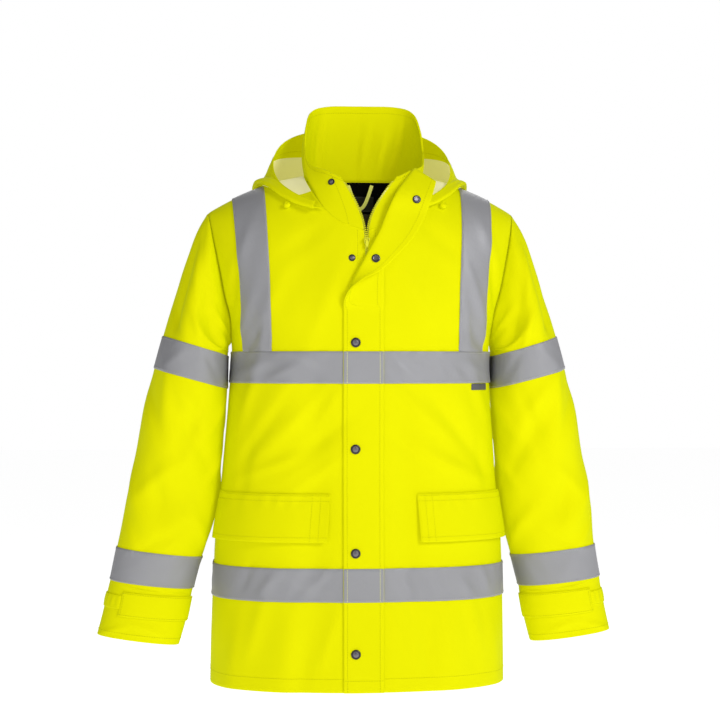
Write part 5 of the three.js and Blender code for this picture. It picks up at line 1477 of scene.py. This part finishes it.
@dataclass
class Hood:
    """Hood turned back: a bag from its rim round and under to the neck seam, with lining and toggles."""

    finer: int = 7
    facing: float = 2.5

    @staticmethod
    def clearance(station: Vec, run: Vec) -> Vec:
        """How far the bag stays clear of the body at a station and share of its run."""
        share = np.clip((1 - np.abs(station) - 0.36) / 0.24, 0, 1)
        outer, inner = lerp(12.0, 16.0, share), lerp(4.0, 5.0, share)
        angle = math.pi * np.clip((run - TURN[0]) / (TURN[1] - TURN[0]), 0, 1)
        turned_in = lerp(inner, HOOD_SEAT, (run - TURN[1]) / (1 - TURN[1]))
        return np.where(run > TURN[1], turned_in, lerp(inner, outer, (1 + np.cos(angle)) / 2))

    def point(self, station: Vec, run: Vec) -> Vec:
        """Points of the bag: outer layer down from the rim, round the turn, inner layer up to the seam.

        Args:
            station: -1 to 1 as on the collar, flat list.
            run: Share of the way from rim to neck seam, flat list.

        Returns:
            Points, one to a row.
        """
        side = np.where(station < 0, -1.0, 1.0)
        at = np.maximum(1 - np.abs(station), HOOD.rows[0, 0])
        read = lambda name: HOOD.read(at, name)
        rim = stack(side * read("rimX") + HOOD_SHIFT * at, read("rimY"), read("rimZ"))
        foot_x = read("footX")
        seams = {face: torso(face, side * foot_x, Body.top_edge(face, foot_x)) for face in ("front", "back")}
        ahead_of = (at < 0.5)[:, None]
        seam = np.where(ahead_of, seams["front"][0], seams["back"][0])
        normal = np.where(ahead_of, seams["front"][1], seams["back"][1])
        outward = unit(rim * [1, 1, 0])
        foot = seam + outward * COLLAR_WALL + normal * HOOD_SEAT
        turn = rim + outward * read("turnOut")[:, None] - stack(0, 0, read("turnDown"))
        fall = np.minimum(run / TURN[0], 1)[:, None]
        back = np.maximum((run - TURN[1]) / (1 - TURN[1]), 0)[:, None]
        clearance = self.clearance(station, run)
        full = self.clearance(station, np.zeros_like(run))
        radius = (full - self.clearance(station, np.full_like(run, TURN[1]))) / 2
        level = np.minimum(turn[:, 2], ridge(turn[:, 0]) - TURN_UNDER)
        lean = np.where((turn[:, 1] < 0)[:, None], torso("front", turn[:, 0], level)[1],
                        torso("back", turn[:, 0], level)[1])
        ahead = unit(turn - rim)
        angle = math.pi * np.clip((run - TURN[0]) / (TURN[1] - TURN[0]), 0, 1)
        point = lerp(lerp(rim, turn, fall), foot, back)
        point = point + outward * (read("belly")[:, None] * np.sin(math.pi * fall))
        point = point + ahead * (radius * np.sin(angle))[:, None]
        point = point + lean * ((clearance - full)[:, None] * (1 - back))
        return clear_of_body(point, clearance)

    def grid(self) -> Sheet:
        """The bag's grid, eased as the solid's and then made finer, with creases."""
        reach = 1 - HOOD.rows[0, 0]
        stations = np.linspace(-reach, reach, HOOD_STATIONS + 1)
        run, station = (a.ravel() for a in np.meshgrid(HOOD_RUNS, stations, indexing="ij"))
        shape = (len(HOOD_RUNS), HOOD_STATIONS + 1, 3)
        point = self.point(station, run).reshape(shape)
        clearance = self.clearance(station, run)
        for _ in range(HOOD_EASING):
            eased = point.copy()
            beside = (point[:-1, :-2] + point[:-1, 2:]) / 2
            eased[:-1, 1:-1] = lerp(point[:-1, 1:-1], beside, 0.5)
            moved = clear_of_body(eased.reshape(-1, 3), clearance).reshape(shape)
            point[:-1, 1:-1] = moved[:-1, 1:-1]
        finer = max(self.finer // FINE, 3)
        point = spline(spline(point, finer).swapaxes(0, 1), finer).swapaxes(0, 1)
        normal = grid_normals(point)
        rows, columns = point.shape[:2]
        v = np.linspace(0, len(HOOD_RUNS) - 1, rows)[:, None]
        u = np.linspace(-1, 1, columns)[None]
        lift = 0.0
        for at, lean, wide, row, tall, height in (
                (-0.42, 0.03, 0.03, 3.0, 2.0, 1.8), (-0.3, -0.02, 0.035, 3.5, 2.2, -1.8),
                (-0.16, 0.02, 0.04, 3.6, 2.0, 2.0),
                (0.02, -0.02, 0.05, 3.2, 2.4, -1.6), (0.15, 0.02, 0.035, 3.8, 2.0, 1.9),
                (0.29, -0.02, 0.04, 3.4, 2.0, -1.8),
                (0.44, -0.03, 0.03, 3.0, 2.0, 1.7), (-0.62, 0.04, 0.03, 2.6, 1.8, 1.2),
                (0.64, -0.04, 0.03, 2.6, 1.8, 1.2)):
            beside = (u - at - lean * (v - row)) / wide
            lift = lift + height * np.exp(-(beside ** 2) - ((v - row) / tall) ** 2)
        return Sheet(point + normal * (lift * np.ones((rows, 1)))[..., None], normal)

    def build(self, wardrobe: Wardrobe) -> None:
        """Make the hood, its lining, sewing and toggles."""
        grid = self.grid()
        finer = max(self.finer // FINE, 3)
        last = grid.point.shape[1] - 1
        rows, columns = (np.arange(n - 1)[:, None] for n in grid.point.shape[:2])
        aside = np.abs(columns.T - last / 2)
        lined = (rows >= finer) & (aside < last / 2 - self.facing * finer)
        lined &= (rows < 4 * finer) | (aside > last * 0.3)
        wardrobe.sheet("hood_cloth", grid, 0, -HOOD_WALL, Cloth.YELLOW, "shell", "hood",
                       inside=Cloth.CREAM, lined=lined)
        lined = grid.part((finer, 4 * finer), (LINING_START * finer, last - LINING_START * finer))
        behind = -HOOD_WALL - LINING_GAP
        wardrobe.sheet("hood_lining_cloth", lined, behind, behind - LINING, Cloth.CREAM, "hood_lining",
                       "hood_lining")
        sewing = []
        for row, out, sign in ((0.55 * finer, 0.0, 1), (0.75 * finer, -HOOD_WALL, -1)):
            line = grid.along_row(row)
            sewing.append(stitches(line.point + line.normal * out, line.normal * sign))
        middle = grid.part((0, 5 * finer), (0, last))
        for column in (last / 2 - 5.0, last / 2 + 5.0):
            line = middle.along_column(column)
            sewing.append(stitches(line.point, line.normal))
        wardrobe.add("hood_sewing", join(sewing), Cloth.YELLOW_THREAD, "shell")
        self.toggles(wardrobe)

    def toggles(self, wardrobe: Wardrobe) -> None:
        """Round cord toggles under the hood's front corners."""
        profile = [(0, 0), (2.4, 0.15), (3.6, 0.5), (4.8, 1.7), (5.4, 3.2), (5.6, 4.8), (5.2, 6.4), (4.2, 7.9),
                   (2.9, 8.8), (2.3, 8.9), (2.0, 8.2), (1.4, 7.9), (0, 7.9)]
        points, faces = lathe(profile, 28)
        for side in Side:
            station = np.array([side.value * 0.72])
            rim = self.point(station, np.zeros(1))
            level = np.minimum(rim[:, 2], ridge(rim[:, 0]) - 20)
            normal = torso("front", rim[:, 0], level)[1][0]
            seat = clear_of_body(rim - [0, 0, 26], np.array([0.5]))[0]
            wardrobe.add(f"hood_toggle_{side.word}_ball", (turned(points, seat, normal), faces), Cloth.YELLOW,
                         "toggle", (f"hood_toggle_{side.word}",))


@dataclass
class StormFlap:
    """Flap over the zip with snaps, its top rolled back, and the tapes across it."""

    rows_between: float = 4.6
    finer: int = 9

    @staticmethod
    def on_front(x: Vec, z: Vec, out: Vec) -> Vec:
        """Points of the front moved out by a distance."""
        point, normal = torso("front", x, z)
        return point + normal * np.asarray(out, float)[..., None]

    def lapel_rows(self, row: Vec) -> Vec:
        """The six control points of rolled rows: seam, middle, fold in, fold out, middle, free edge.

        Args:
            row: Row numbers of the table, which need not be whole.

        Returns:
            Array of rows by six points.
        """
        read = lambda name: LAPEL.read(row, name)
        root = self.on_front(read("rootX"), read("rootZ"), FLAP_OFF + read("off") * LAPEL_ROOT)
        fold = self.on_front(read("foldX"), read("foldZ"), FLAP_OFF + read("off") * LAPEL_FOLD)
        over = fold + stack(read("turn"), -read("roll"), 0)
        free = self.on_front(read("freeX"), read("freeZ"), read("out"))
        return np.stack([root, (root + fold) / 2, fold, over, (over + free) / 2, free], 1)

    def grid(self) -> Sheet:
        """The flap's face towards the body, from hem to the top of its roll."""
        heights = np.linspace(0, FLAP_FLAT_TOP, round(FLAP_FLAT_TOP / self.rows_between / FINE) + 1)
        columns = np.linspace(FLAP_SEAM, FLAP_FREE, FLAP_LAST + 1)
        finer = max(self.finer // FINE, 4)
        across = np.linspace(FLAP_SEAM, FLAP_FREE, FLAP_LAST * finer + 1)
        flat = self.on_front(across[None], heights[:, None], np.full((len(heights), len(across)), FLAP_OFF))
        lead = self.on_front(columns[None], np.array([[560.0], [FLAP_FLAT_TOP]]), np.full((2, 6), FLAP_OFF))
        rolled = spline(np.concatenate([lead, self.lapel_rows(np.arange(10.0))]), 6)
        rolled = spline(rolled.swapaxes(0, 1), finer).swapaxes(0, 1)[7:]
        point = np.concatenate([flat, rolled])
        normal = -grid_normals(point)
        return Sheet(point, normal)

    def build(self, wardrobe: Wardrobe) -> None:
        """Make the flap, its tapes and sewing."""
        grid = self.grid()
        last = grid.point.shape[1] - 1
        wardrobe.sheet("storm_flap_cloth", grid, FLAP_WALL, 0, Cloth.YELLOW, "shell", "storm_flap")
        seat = FLAP_WALL + GAP
        step = self.rows_between * FINE
        sewing, grey, pale = [], [], []
        for node, low, high in (("chest_tape_flap", 477, 526), ("hem_tape_flap", 139, 190)):
            z = np.linspace(low, high, 12)
            x = np.linspace(FLAP_SEAM, FLAP_FREE, 40)
            point, normal = torso("front", *np.broadcast_arrays(x[None], z[:, None]))
            tape = Sheet(point + normal * (FLAP_OFF + seat), normal)
            wardrobe.sheet(f"{node}_strip", tape, TAPE, 0, Cloth.SILVER, "reflective_tape", node)
            for row in (0.6, 10.4):
                line = tape.along_row(row)
                grey.append(stitches(line.point + line.normal * TAPE, line.normal))
            for column in (3.4, 35.8):
                line = tape.along_column(column)
                pale.append(stitches(line.point + line.normal * TAPE, line.normal))
        top = Sheet(grid.out(FLAP_WALL), grid.normal)
        under = Sheet(grid.point, -grid.normal)
        for column in (last * 0.09, last * 0.915):
            for face in (top, under) if column > last / 2 else (top,):
                line = face.along_column(column)
                sewing.append(stitches(line.point, line.normal))
        line = top.along_row(18 / step)
        sewing.append(stitches(line.point, line.normal))
        wardrobe.add("flap_sewing", join(sewing), Cloth.YELLOW_THREAD, "shell")
        wardrobe.add("flap_tape_sewing", join(grey), Cloth.GREY_THREAD, "reflective_tape")
        wardrobe.add("flap_topstitch", join(pale), Cloth.PALE_THREAD, "reflective_tape")


@dataclass
class Pockets:
    """Pocket flaps with double topstitching."""

    body: Body
    low: float = 231.0
    high: float = 305.0
    slant: float = 5.0
    lift: float = 5.0
    wall: float = 1.8

    def build(self, wardrobe: Wardrobe) -> None:
        """Make both flaps and their sewing."""
        sewing = []
        for side, start in ((Side.RIGHT, 57.0), (Side.LEFT, 79.0)):
            rows, columns = 26, 64
            z = np.broadcast_to(np.linspace(self.low, self.high, rows)[:, None], (rows, columns))
            share = 1 - np.linspace(0, 1, rows)[:, None]
            k = self.body.columns_each
            outer = np.abs(self.body.column_x(side, FRONT_COUNTS, ZIP_EDGE,
                                              np.broadcast_to(z[:, :1], (rows, 12 * k + 1)))[:, 11 * k])[:, None]
            n = SECTION_POWER
            shift = TORSO.read(z, "shift") * side.value
            half = TORSO.read(z, "half")
            angle_of = lambda x: np.arcsin(np.clip((x - shift) / half, 0, 1) ** (n / 2))
            angle = lerp(angle_of(start + self.slant * share), angle_of(outer),
                         np.linspace(0, 1, columns)[None])
            x = side.value * (shift + half * np.sin(angle) ** (2 / n))
            point, normal = torso("front", x, z)
            u = np.linspace(0, 1, columns)[None]
            pucker = 0.75 * np.sin(x / 4.6 + 2 * np.sin(x / 21)) * np.exp(-(((1 - share) - 0.86) / 0.14) ** 2)
            sag = 1.1 * np.sin(x / 17 + side.value) * share * np.sin(math.pi * u)
            lift = GAP + 0.95 + self.lift * share + pucker + sag
            grid = Sheet(point + normal * lift[..., None], normal)
            wardrobe.sheet(f"pocket_flap_{side.word}_cloth", grid, self.wall, 0, Cloth.YELLOW, "shell",
                           f"pocket_flap_{side.word}")
            face = Sheet(grid.out(self.wall), normal)
            for row in (rows - 1.8, rows - 4.6, 2.4):
                line = face.along_row(row)
                sewing.append(stitches(line.point, line.normal))
            for column in (3.0, 6.0):
                line = face.along_column(column)
                sewing.append(stitches(line.point, line.normal))
        wardrobe.add("pocket_sewing", join(sewing), Cloth.YELLOW_THREAD, "shell")


@dataclass
class Neck:
    """Bare neck label, hanger loop and side label."""

    label_half: float = 24.0
    loop_left: float = -14.0
    loop_right: float = 26.0
    loop_top: float = 804.0
    loop_drop: float = 39.0
    loop_bow: float = 5.0
    loop_width: float = 5.0

    def build(self, wardrobe: Wardrobe) -> None:
        """Make the three small pieces."""
        inner = CLOTH + GAP + LINING
        x, z = np.meshgrid(np.linspace(-self.label_half, self.label_half, 17) + COLLAR_SHIFT,
                           np.linspace(762, 786, 9))
        point, normal = torso("back", x, z)
        grid = Sheet(point, normal)
        wardrobe.sheet("neck_label_cloth", grid, -inner - 0.7, -inner - 1.4, Cloth.LABEL, "black_lining",
                       "neck_label")
        share = np.linspace(0, 1, 61)
        bend = np.sin(math.pi * share)
        point, normal = torso("back", lerp(self.loop_left, self.loop_right, share), np.full(61, self.loop_top))
        path = point - normal * (inner + 1) + stack(0, -self.loop_bow * bend, -self.loop_drop * bend)
        across = unit(np.cross(unit(np.gradient(path, axis=0)), [0.0, -1.0, 0.0]))
        strip = path[:, None] + across[:, None] * np.linspace(-0.5, 0.5, 5)[None, :, None] * self.loop_width
        loop = Sheet(strip, np.broadcast_to([0.0, -1.0, 0.0], strip.shape).copy())
        wardrobe.sheet("hanger_loop_strip", loop, 1, 0, Cloth.LOOP, "hanger_loop", "hanger_loop")
        x, z = np.meshgrid(np.linspace(166, 194, 13), np.linspace(466, 475.5, 7))
        grid = Sheet(*torso("front", x, z))
        wardrobe.sheet("side_label_cloth", grid, 1.6, 0.8, Cloth.GREY, "grey_label", "side_label")


@dataclass
class Zip:
    """Zip tapes, teeth, slider and pull tab."""

    body: Body
    collar: Collar
    height: float = 697.0
    width: float = 13.0
    pitch: float = 3.5

    def tooth_row(self, path: Vec, normal: Vec, across: Vec, start: float) -> tuple[Vec, Vec]:
        """Moulded teeth along an edge: blocks with a waist, one each pitch.

        Args:
            path: Points of the edge.
            normal: Outward normals of the tape there.
            across: Ways towards the other half of the zip.
            start: Where along the edge the first tooth stands.

        Returns:
            Vertices and faces.
        """
        length = np.concatenate([[0], np.cumsum(np.linalg.norm(np.diff(path, axis=0), axis=1))])
        place = np.arange(start, length[-1] - 1, self.pitch)
        read = lambda values: np.stack([np.interp(place, length, values[:, k]) for k in range(3)], -1)
        centre, up, out = read(path), unit(read(normal)), unit(read(across))
        way = unit(np.cross(up, out))
        corners = []
        for reach, tall in ((-2.4, 0.7), (0.0, 0.75), (1.6, 0.6), (3.6, 0.8)):
            for sign_a, sign_b in ((-1, -1), (1, -1), (1, 1), (-1, 1)):
                corners.append(centre + out * reach + way * sign_a * tall + up * sign_b * 1.3)
        points = np.stack(corners, 1).reshape(-1, 3)
        sides = [[s * 4 + k, s * 4 + (k + 1) % 4, s * 4 + 4 + (k + 1) % 4, s * 4 + 4 + k]
                 for s in range(3) for k in range(4)] + [[3, 2, 1, 0], [12, 13, 14, 15]]
        faces = (np.arange(len(place))[:, None, None] * 16 + np.array(sides)[None]).reshape(-1, 4)
        return points, faces

    def build(self, wardrobe: Wardrobe) -> None:
        """Make the zip."""
        behind = CLOTH + 2 * GAP
        teeth = []
        for side in Side:
            z, x = np.meshgrid(np.linspace(6, 690, 150), side.value * np.linspace(GAP, self.width, 6),
                               indexing="ij")
            grid = Sheet(*torso("front", x, z))
            wardrobe.sheet(f"zip_tape_{side.word}_strip", grid, -behind, -behind - LINING, Cloth.YELLOW,
                           "zip_tape", f"zip_tape_{side.word}")
            up = np.linspace(560, self.height - 4, 60)
            point, normal = torso("front", np.full(60, side.value * 1.4), up)
            way = np.broadcast_to([-float(side.value), 0, 0], point.shape)
            start = 0.6 + (side is Side.LEFT) * self.pitch / 2
            teeth.append(self.tooth_row(point - normal * 2.2, normal, way, start))
            rise = np.linspace(0.02, 0.93, 60)
            edge = self.collar.point(np.full(60, float(side.value)), rise)
            near = self.collar.point(np.full(60, side.value * 0.985), rise)
            away = unit(edge - near)
            along = unit(np.gradient(edge, axis=0))
            facing = unit(np.cross(along, away)) * side.value
            apex, lean = torso("front", np.array([side.value * 1.6]), np.array([self.height + 6.0]))
            path = np.concatenate([apex - lean * 2.2, edge - facing * COLLAR_WALL / 2])
            ups = np.concatenate([facing[:1], facing])
            outs = np.concatenate([away[:1], away])
            teeth.append(self.tooth_row(path + outs * 1.2, ups, outs, 1.0))
        wardrobe.add("zip_teeth", join(teeth), Cloth.ZIP, "zip_metal", crisp=30)
        self.fittings(wardrobe)

    def fittings(self, wardrobe: Wardrobe) -> None:
        """Slider body with its ears, and the pull tab that turns between them."""
        point, _ = torso("front", np.array([0.0]), np.array([self.height]))
        place = point[0] + [0, -2.5 - 1.1, 0]
        outline = np.array([(-2.3, -4.9), (2.3, -4.9), (3.1, -3.4), (4.35, 0.6), (4.4, 3.8), (3.8, 4.9),
                            (-3.8, 4.9), (-4.4, 3.8), (-4.35, 0.6), (-3.1, -3.4)])
        layers = []
        for y, scale in ((2.4, 0.86), (2.0, 1.0), (-1.9, 1.0), (-2.4, 0.84)):
            layers.append(stack(outline[:, 0] * scale, y, outline[:, 1] * scale))
        wardrobe.add("zip_slider_body", join([self.stacked(np.array(layers) + place)] + [
            self.stacked(self.ear(side) + place) for side in (-1, 1)]), Cloth.ZIP, "zip_metal", ("zip_slider",),
            crisp=30)
        hinge = place + [0, -4.5, 2]
        rod = np.linspace(-1.15, 1.15, 6)[:, None] * [1.0, 0, 0] + hinge
        tab = []
        for z, half in ((0.9, 1.0), (0.2, 1.3), (-4.5, 1.35), (-6.0, 2.1), (-9.6, 2.15), (-10.8, 1.4)):
            tab.append(stack([-half, half, half, -half], [0.62, 0.62, -0.62, -0.62], z))
        wardrobe.add("zip_pull_tab", join([tube(rod, 1.05, 16), self.stacked(np.array(tab) + hinge)]), Cloth.ZIP,
                     "zip_metal", ("zip_pull",), body="pull", crisp=30)

    @staticmethod
    def ear(side: int) -> Vec:
        """Layers of one ear of the slider, from its foot to its rounded end."""
        x = side * 3.2
        return np.array([stack([x - 0.5, x + 0.5, x + 0.5, x - 0.5], y, np.array([-1, -1, 1, 1]) * tall + 2.0)
                         for y, tall in ((-2.0, 1.9), (-4.6, 1.8), (-5.8, 1.2), (-6.1, 0.6))])

    @staticmethod
    def stacked(layers: Vec) -> tuple[Vec, Vec]:
        """A closed solid through layers of the same outline, capped flat."""
        count, sides = layers.shape[:2]
        index = np.arange(count * sides).reshape(count, sides)
        right = np.roll(index, -1, 1)
        quads = np.stack([index[:-1], right[:-1], right[1:], index[1:]], -1).reshape(-1, 4)
        points = np.concatenate([layers.reshape(-1, 3), layers[:1].mean(1), layers[-1:].mean(1)])
        low, high = len(points) - 2, len(points) - 1
        start = np.stack([right[0], index[0], np.full(sides, low), np.full(sides, low)], -1)
        end = np.stack([index[-1], right[-1], np.full(sides, high), np.full(sides, high)], -1)
        faces = np.concatenate([quads, start, end])
        a, b, c, d = (points[faces[:, k]] for k in range(4))
        volume = (a * np.cross(b, c)).sum() + (a * np.cross(c, d)).sum()
        return points, faces if volume > 0 else flipped(faces)


@dataclass
class Snaps:
    """Closed snap caps on the flap, and the opened studs and sockets above them."""

    flap: StormFlap
    collar: Collar
    heights: tuple[float, ...] = (59.0, 214.0, 375.0, 540.0)

    def on_lapel(self, row: float, share: float) -> tuple[Vec, Vec]:
        """Seat and normal on the visible underside of the rolled flap.

        Args:
            row: Row of the lapel's table.
            share: Share of the way from its fold to its free edge.

        Returns:
            Point and normal.
        """
        low, high = self.flap.lapel_rows(np.array([math.floor(row), math.floor(row) + 1.0]))
        at = lambda line: lerp(line[3], line[5], share)
        across = low[5] - low[3] + high[5] - high[3]
        normal = unit(np.cross(across, at(high) - at(low)))
        return lerp(at(low), at(high), row % 1), normal if normal[1] < 0 else -normal

    def build(self, wardrobe: Wardrobe) -> None:
        """Make the eight snap parts."""
        cap = [(0, 0), (7.5, 0), (7.6, 0.35), (7.45, 0.95), (6.9, 1.6), (6.1, 2.0), (5.2, 1.95), (4.6, 1.7),
               (4.1, 1.75), (3.0, 2.15), (1.5, 2.4), (0, 2.45)]
        stud = [(0, 0), (5.3, 0), (5.4, 0.5), (5.0, 0.95), (3.3, 1.1), (2.7, 1.3), (2.5, 2.2), (2.6, 3.0),
                (2.2, 3.45), (1.2, 3.6), (0, 3.6)]
        socket = [(0, 0), (6.5, 0), (6.6, 0.8), (6.3, 1.7), (5.4, 2.15), (4.2, 2.2), (3.4, 1.9), (2.9, 1.0),
                  (0, 0.9)]
        seat = FLAP_OFF + FLAP_WALL + 1.5 * GAP
        for i, z in enumerate(self.heights):
            point, normal = torso("front", np.array([-18.0]), np.array([z]))
            self.place(wardrobe, f"snap_cap_{i + 1}", cap, point[0] + normal[0] * (seat + 0.25), normal[0])
        point, normal = torso("front", np.array([-23.0]), np.array([671.0]))
        lift = 1.7 * GAP
        self.place(wardrobe, "snap_stud_lower", stud, point[0] + normal[0] * lift, normal[0])
        step = 0.01
        mid = self.collar.point(np.array([-0.9]), np.array([0.78]))[0]
        wide = self.collar.point(np.array([-0.9 + step]), np.array([0.78]))[0] - self.collar.point(
            np.array([-0.9 - step]), np.array([0.78]))[0]
        tall = self.collar.point(np.array([-0.9]), np.array([0.79]))[0] - self.collar.point(
            np.array([-0.9]), np.array([0.77]))[0]
        out = unit(np.cross(tall, wide))
        self.place(wardrobe, "snap_stud_upper", stud, mid + out * (lift + 0.3), out)
        for word, row, share in (("lower", 4.35, 0.42), ("upper", 7.75, 0.6)):
            point, normal = self.on_lapel(row, share)
            self.place(wardrobe, f"snap_socket_{word}", socket, point + normal * (lift + 0.3), normal)

    @staticmethod
    def place(wardrobe: Wardrobe, node: str, profile: Sequence[tuple[float, float]], seat: Vec,
              normal: Vec) -> None:
        """Stand one turned part on its seat."""
        points, faces = lathe(profile, 40)
        # The middle faces take the lighter finish: a painted highlight on each snap's centre.
        middle = np.linalg.norm(points[faces][..., :2].mean(1), axis=-1) < 0.58 * points[:, 0].max()
        wardrobe.add(f"{node}_metal", (turned(points, seat, normal), faces), Cloth.GUNMETAL, "snap_metal",
                     (node,), crisp=40, inside=Cloth.SNAP_HIGHLIGHT, inside_faces=middle)


@dataclass
class Studio:
    """Plain pale floor, soft light and the photograph's camera."""

    azimuth: float = -4.5
    distance: float = 3.2
    eye: float = 513.0
    lens: float = 99.0
    floor_drop: float = 260.0

    def build(self) -> None:
        """Make the floor, lights, world and camera."""
        scene = bpy.context.scene
        scene.view_settings.view_transform = "Standard"
        self.floor()
        self.world()
        self.lamp("key", (1.9, -2.7, 1.2), 1.0, 56)
        self.lamp("fill", (-1.6, -3.0, 0.7), 1.5, 11)
        self.lamp("back", (0.4, 2.6, 1.7), 2.0, 34)
        data = bpy.data.cameras.new("camera")
        data.lens = self.lens
        data.sensor_width = 36.0
        camera = bpy.data.objects.new("camera", data)
        scene.collection.objects.link(camera)
        angle = math.radians(self.azimuth)
        level = (self.eye - NECK_POINT) * MM
        camera.location = (math.sin(angle) * self.distance, -math.cos(angle) * self.distance, level)
        way = Vector((0, 0, level)) - camera.location
        camera.rotation_euler = way.to_track_quat("-Z", "Y").to_euler()
        scene.camera = camera

    def floor(self) -> None:
        """A wide pale floor below the hem."""
        level = -(NECK_POINT + self.floor_drop) * MM
        mesh = bpy.data.meshes.new("floor")
        size = 14.0
        corners = [(-size, -size, level), (size, -size, level), (size, size, level), (-size, size, level)]
        mesh.from_pydata(corners, [], [(0, 1, 2, 3)])
        material = bpy.data.materials.new("pale floor")
        material.use_nodes = True
        shader = material.node_tree.nodes["Principled BSDF"]
        shader.inputs["Base Color"].default_value = (0.85, 0.85, 0.85, 1)
        shader.inputs["Roughness"].default_value = 0.9
        shader.inputs["Emission Color"].default_value = (1, 1, 1, 1)
        shader.inputs["Emission Strength"].default_value = 0.78
        mesh.materials.append(material)
        floor = bpy.data.objects.new("floor", mesh)
        bpy.context.scene.collection.objects.link(floor)
        floor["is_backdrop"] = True

    @staticmethod
    def world() -> None:
        """Even white surroundings, brighter where the camera sees them than as light."""
        world = bpy.data.worlds.new("studio")
        bpy.context.scene.world = world
        world.use_nodes = True
        nodes, links = world.node_tree.nodes, world.node_tree.links
        shown = nodes["Background"]
        shown.inputs["Color"].default_value = (1, 1, 1, 1)
        light = nodes.new("ShaderNodeBackground")
        light.inputs["Color"].default_value = (1, 1, 1, 1)
        light.inputs["Strength"].default_value = 0.24
        path = nodes.new("ShaderNodeLightPath")
        mix = nodes.new("ShaderNodeMixShader")
        links.new(path.outputs["Is Camera Ray"], mix.inputs["Fac"])
        links.new(light.outputs[0], mix.inputs[1])
        links.new(shown.outputs[0], mix.inputs[2])
        links.new(mix.outputs[0], nodes["World Output"].inputs["Surface"])

    @staticmethod
    def lamp(name: str, place: tuple[float, float, float], size: float, power: float) -> None:
        """A large soft lamp turned to the jacket's middle.

        Args:
            name: Name of the lamp.
            place: Where it stands, in metres.
            size: Side of its square.
            power: Watts.
        """
        data = bpy.data.lights.new(name, "AREA")
        data.size = size
        data.energy = power
        lamp = bpy.data.objects.new(name, data)
        lamp.location = place
        lamp.rotation_euler = (Vector((0, 0, -0.35)) - Vector(place)).to_track_quat("-Z", "Y").to_euler()
        bpy.context.scene.collection.objects.link(lamp)
        lamp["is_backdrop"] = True


def write_sizes() -> None:
    """Work out the box of the frame and of the finished scene as plain lists."""
    boxes = {"load": BOUNDS_AT_LOAD, "finish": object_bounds()}
    plain = {key: [[float(v) for v in corner] for corner in box] for key, box in boxes.items()}


def main() -> None:
    """Build the jacket piece by piece, then the studio."""
    logging.basicConfig(level=logging.INFO, format="%(message)s")
    wardrobe = Wardrobe()
    body = Body()
    body.build(wardrobe)
    LOG.info("body: %d objects", wardrobe.count)
    for side in Side:
        Sleeve(side).build(wardrobe)
    LOG.info("sleeves: %d objects", wardrobe.count)
    collar = Collar(body)
    collar.build(wardrobe)
    Hood().build(wardrobe)
    LOG.info("collar and hood: %d objects", wardrobe.count)
    flap = StormFlap()
    flap.build(wardrobe)
    Pockets(body).build(wardrobe)
    Neck().build(wardrobe)
    Zip(body, collar).build(wardrobe)
    Snaps(flap, collar).build(wardrobe)
    LOG.info("jacket: %d objects", wardrobe.count)
    Studio().build()
    write_sizes()


if __name__ == "__main__":
    main()
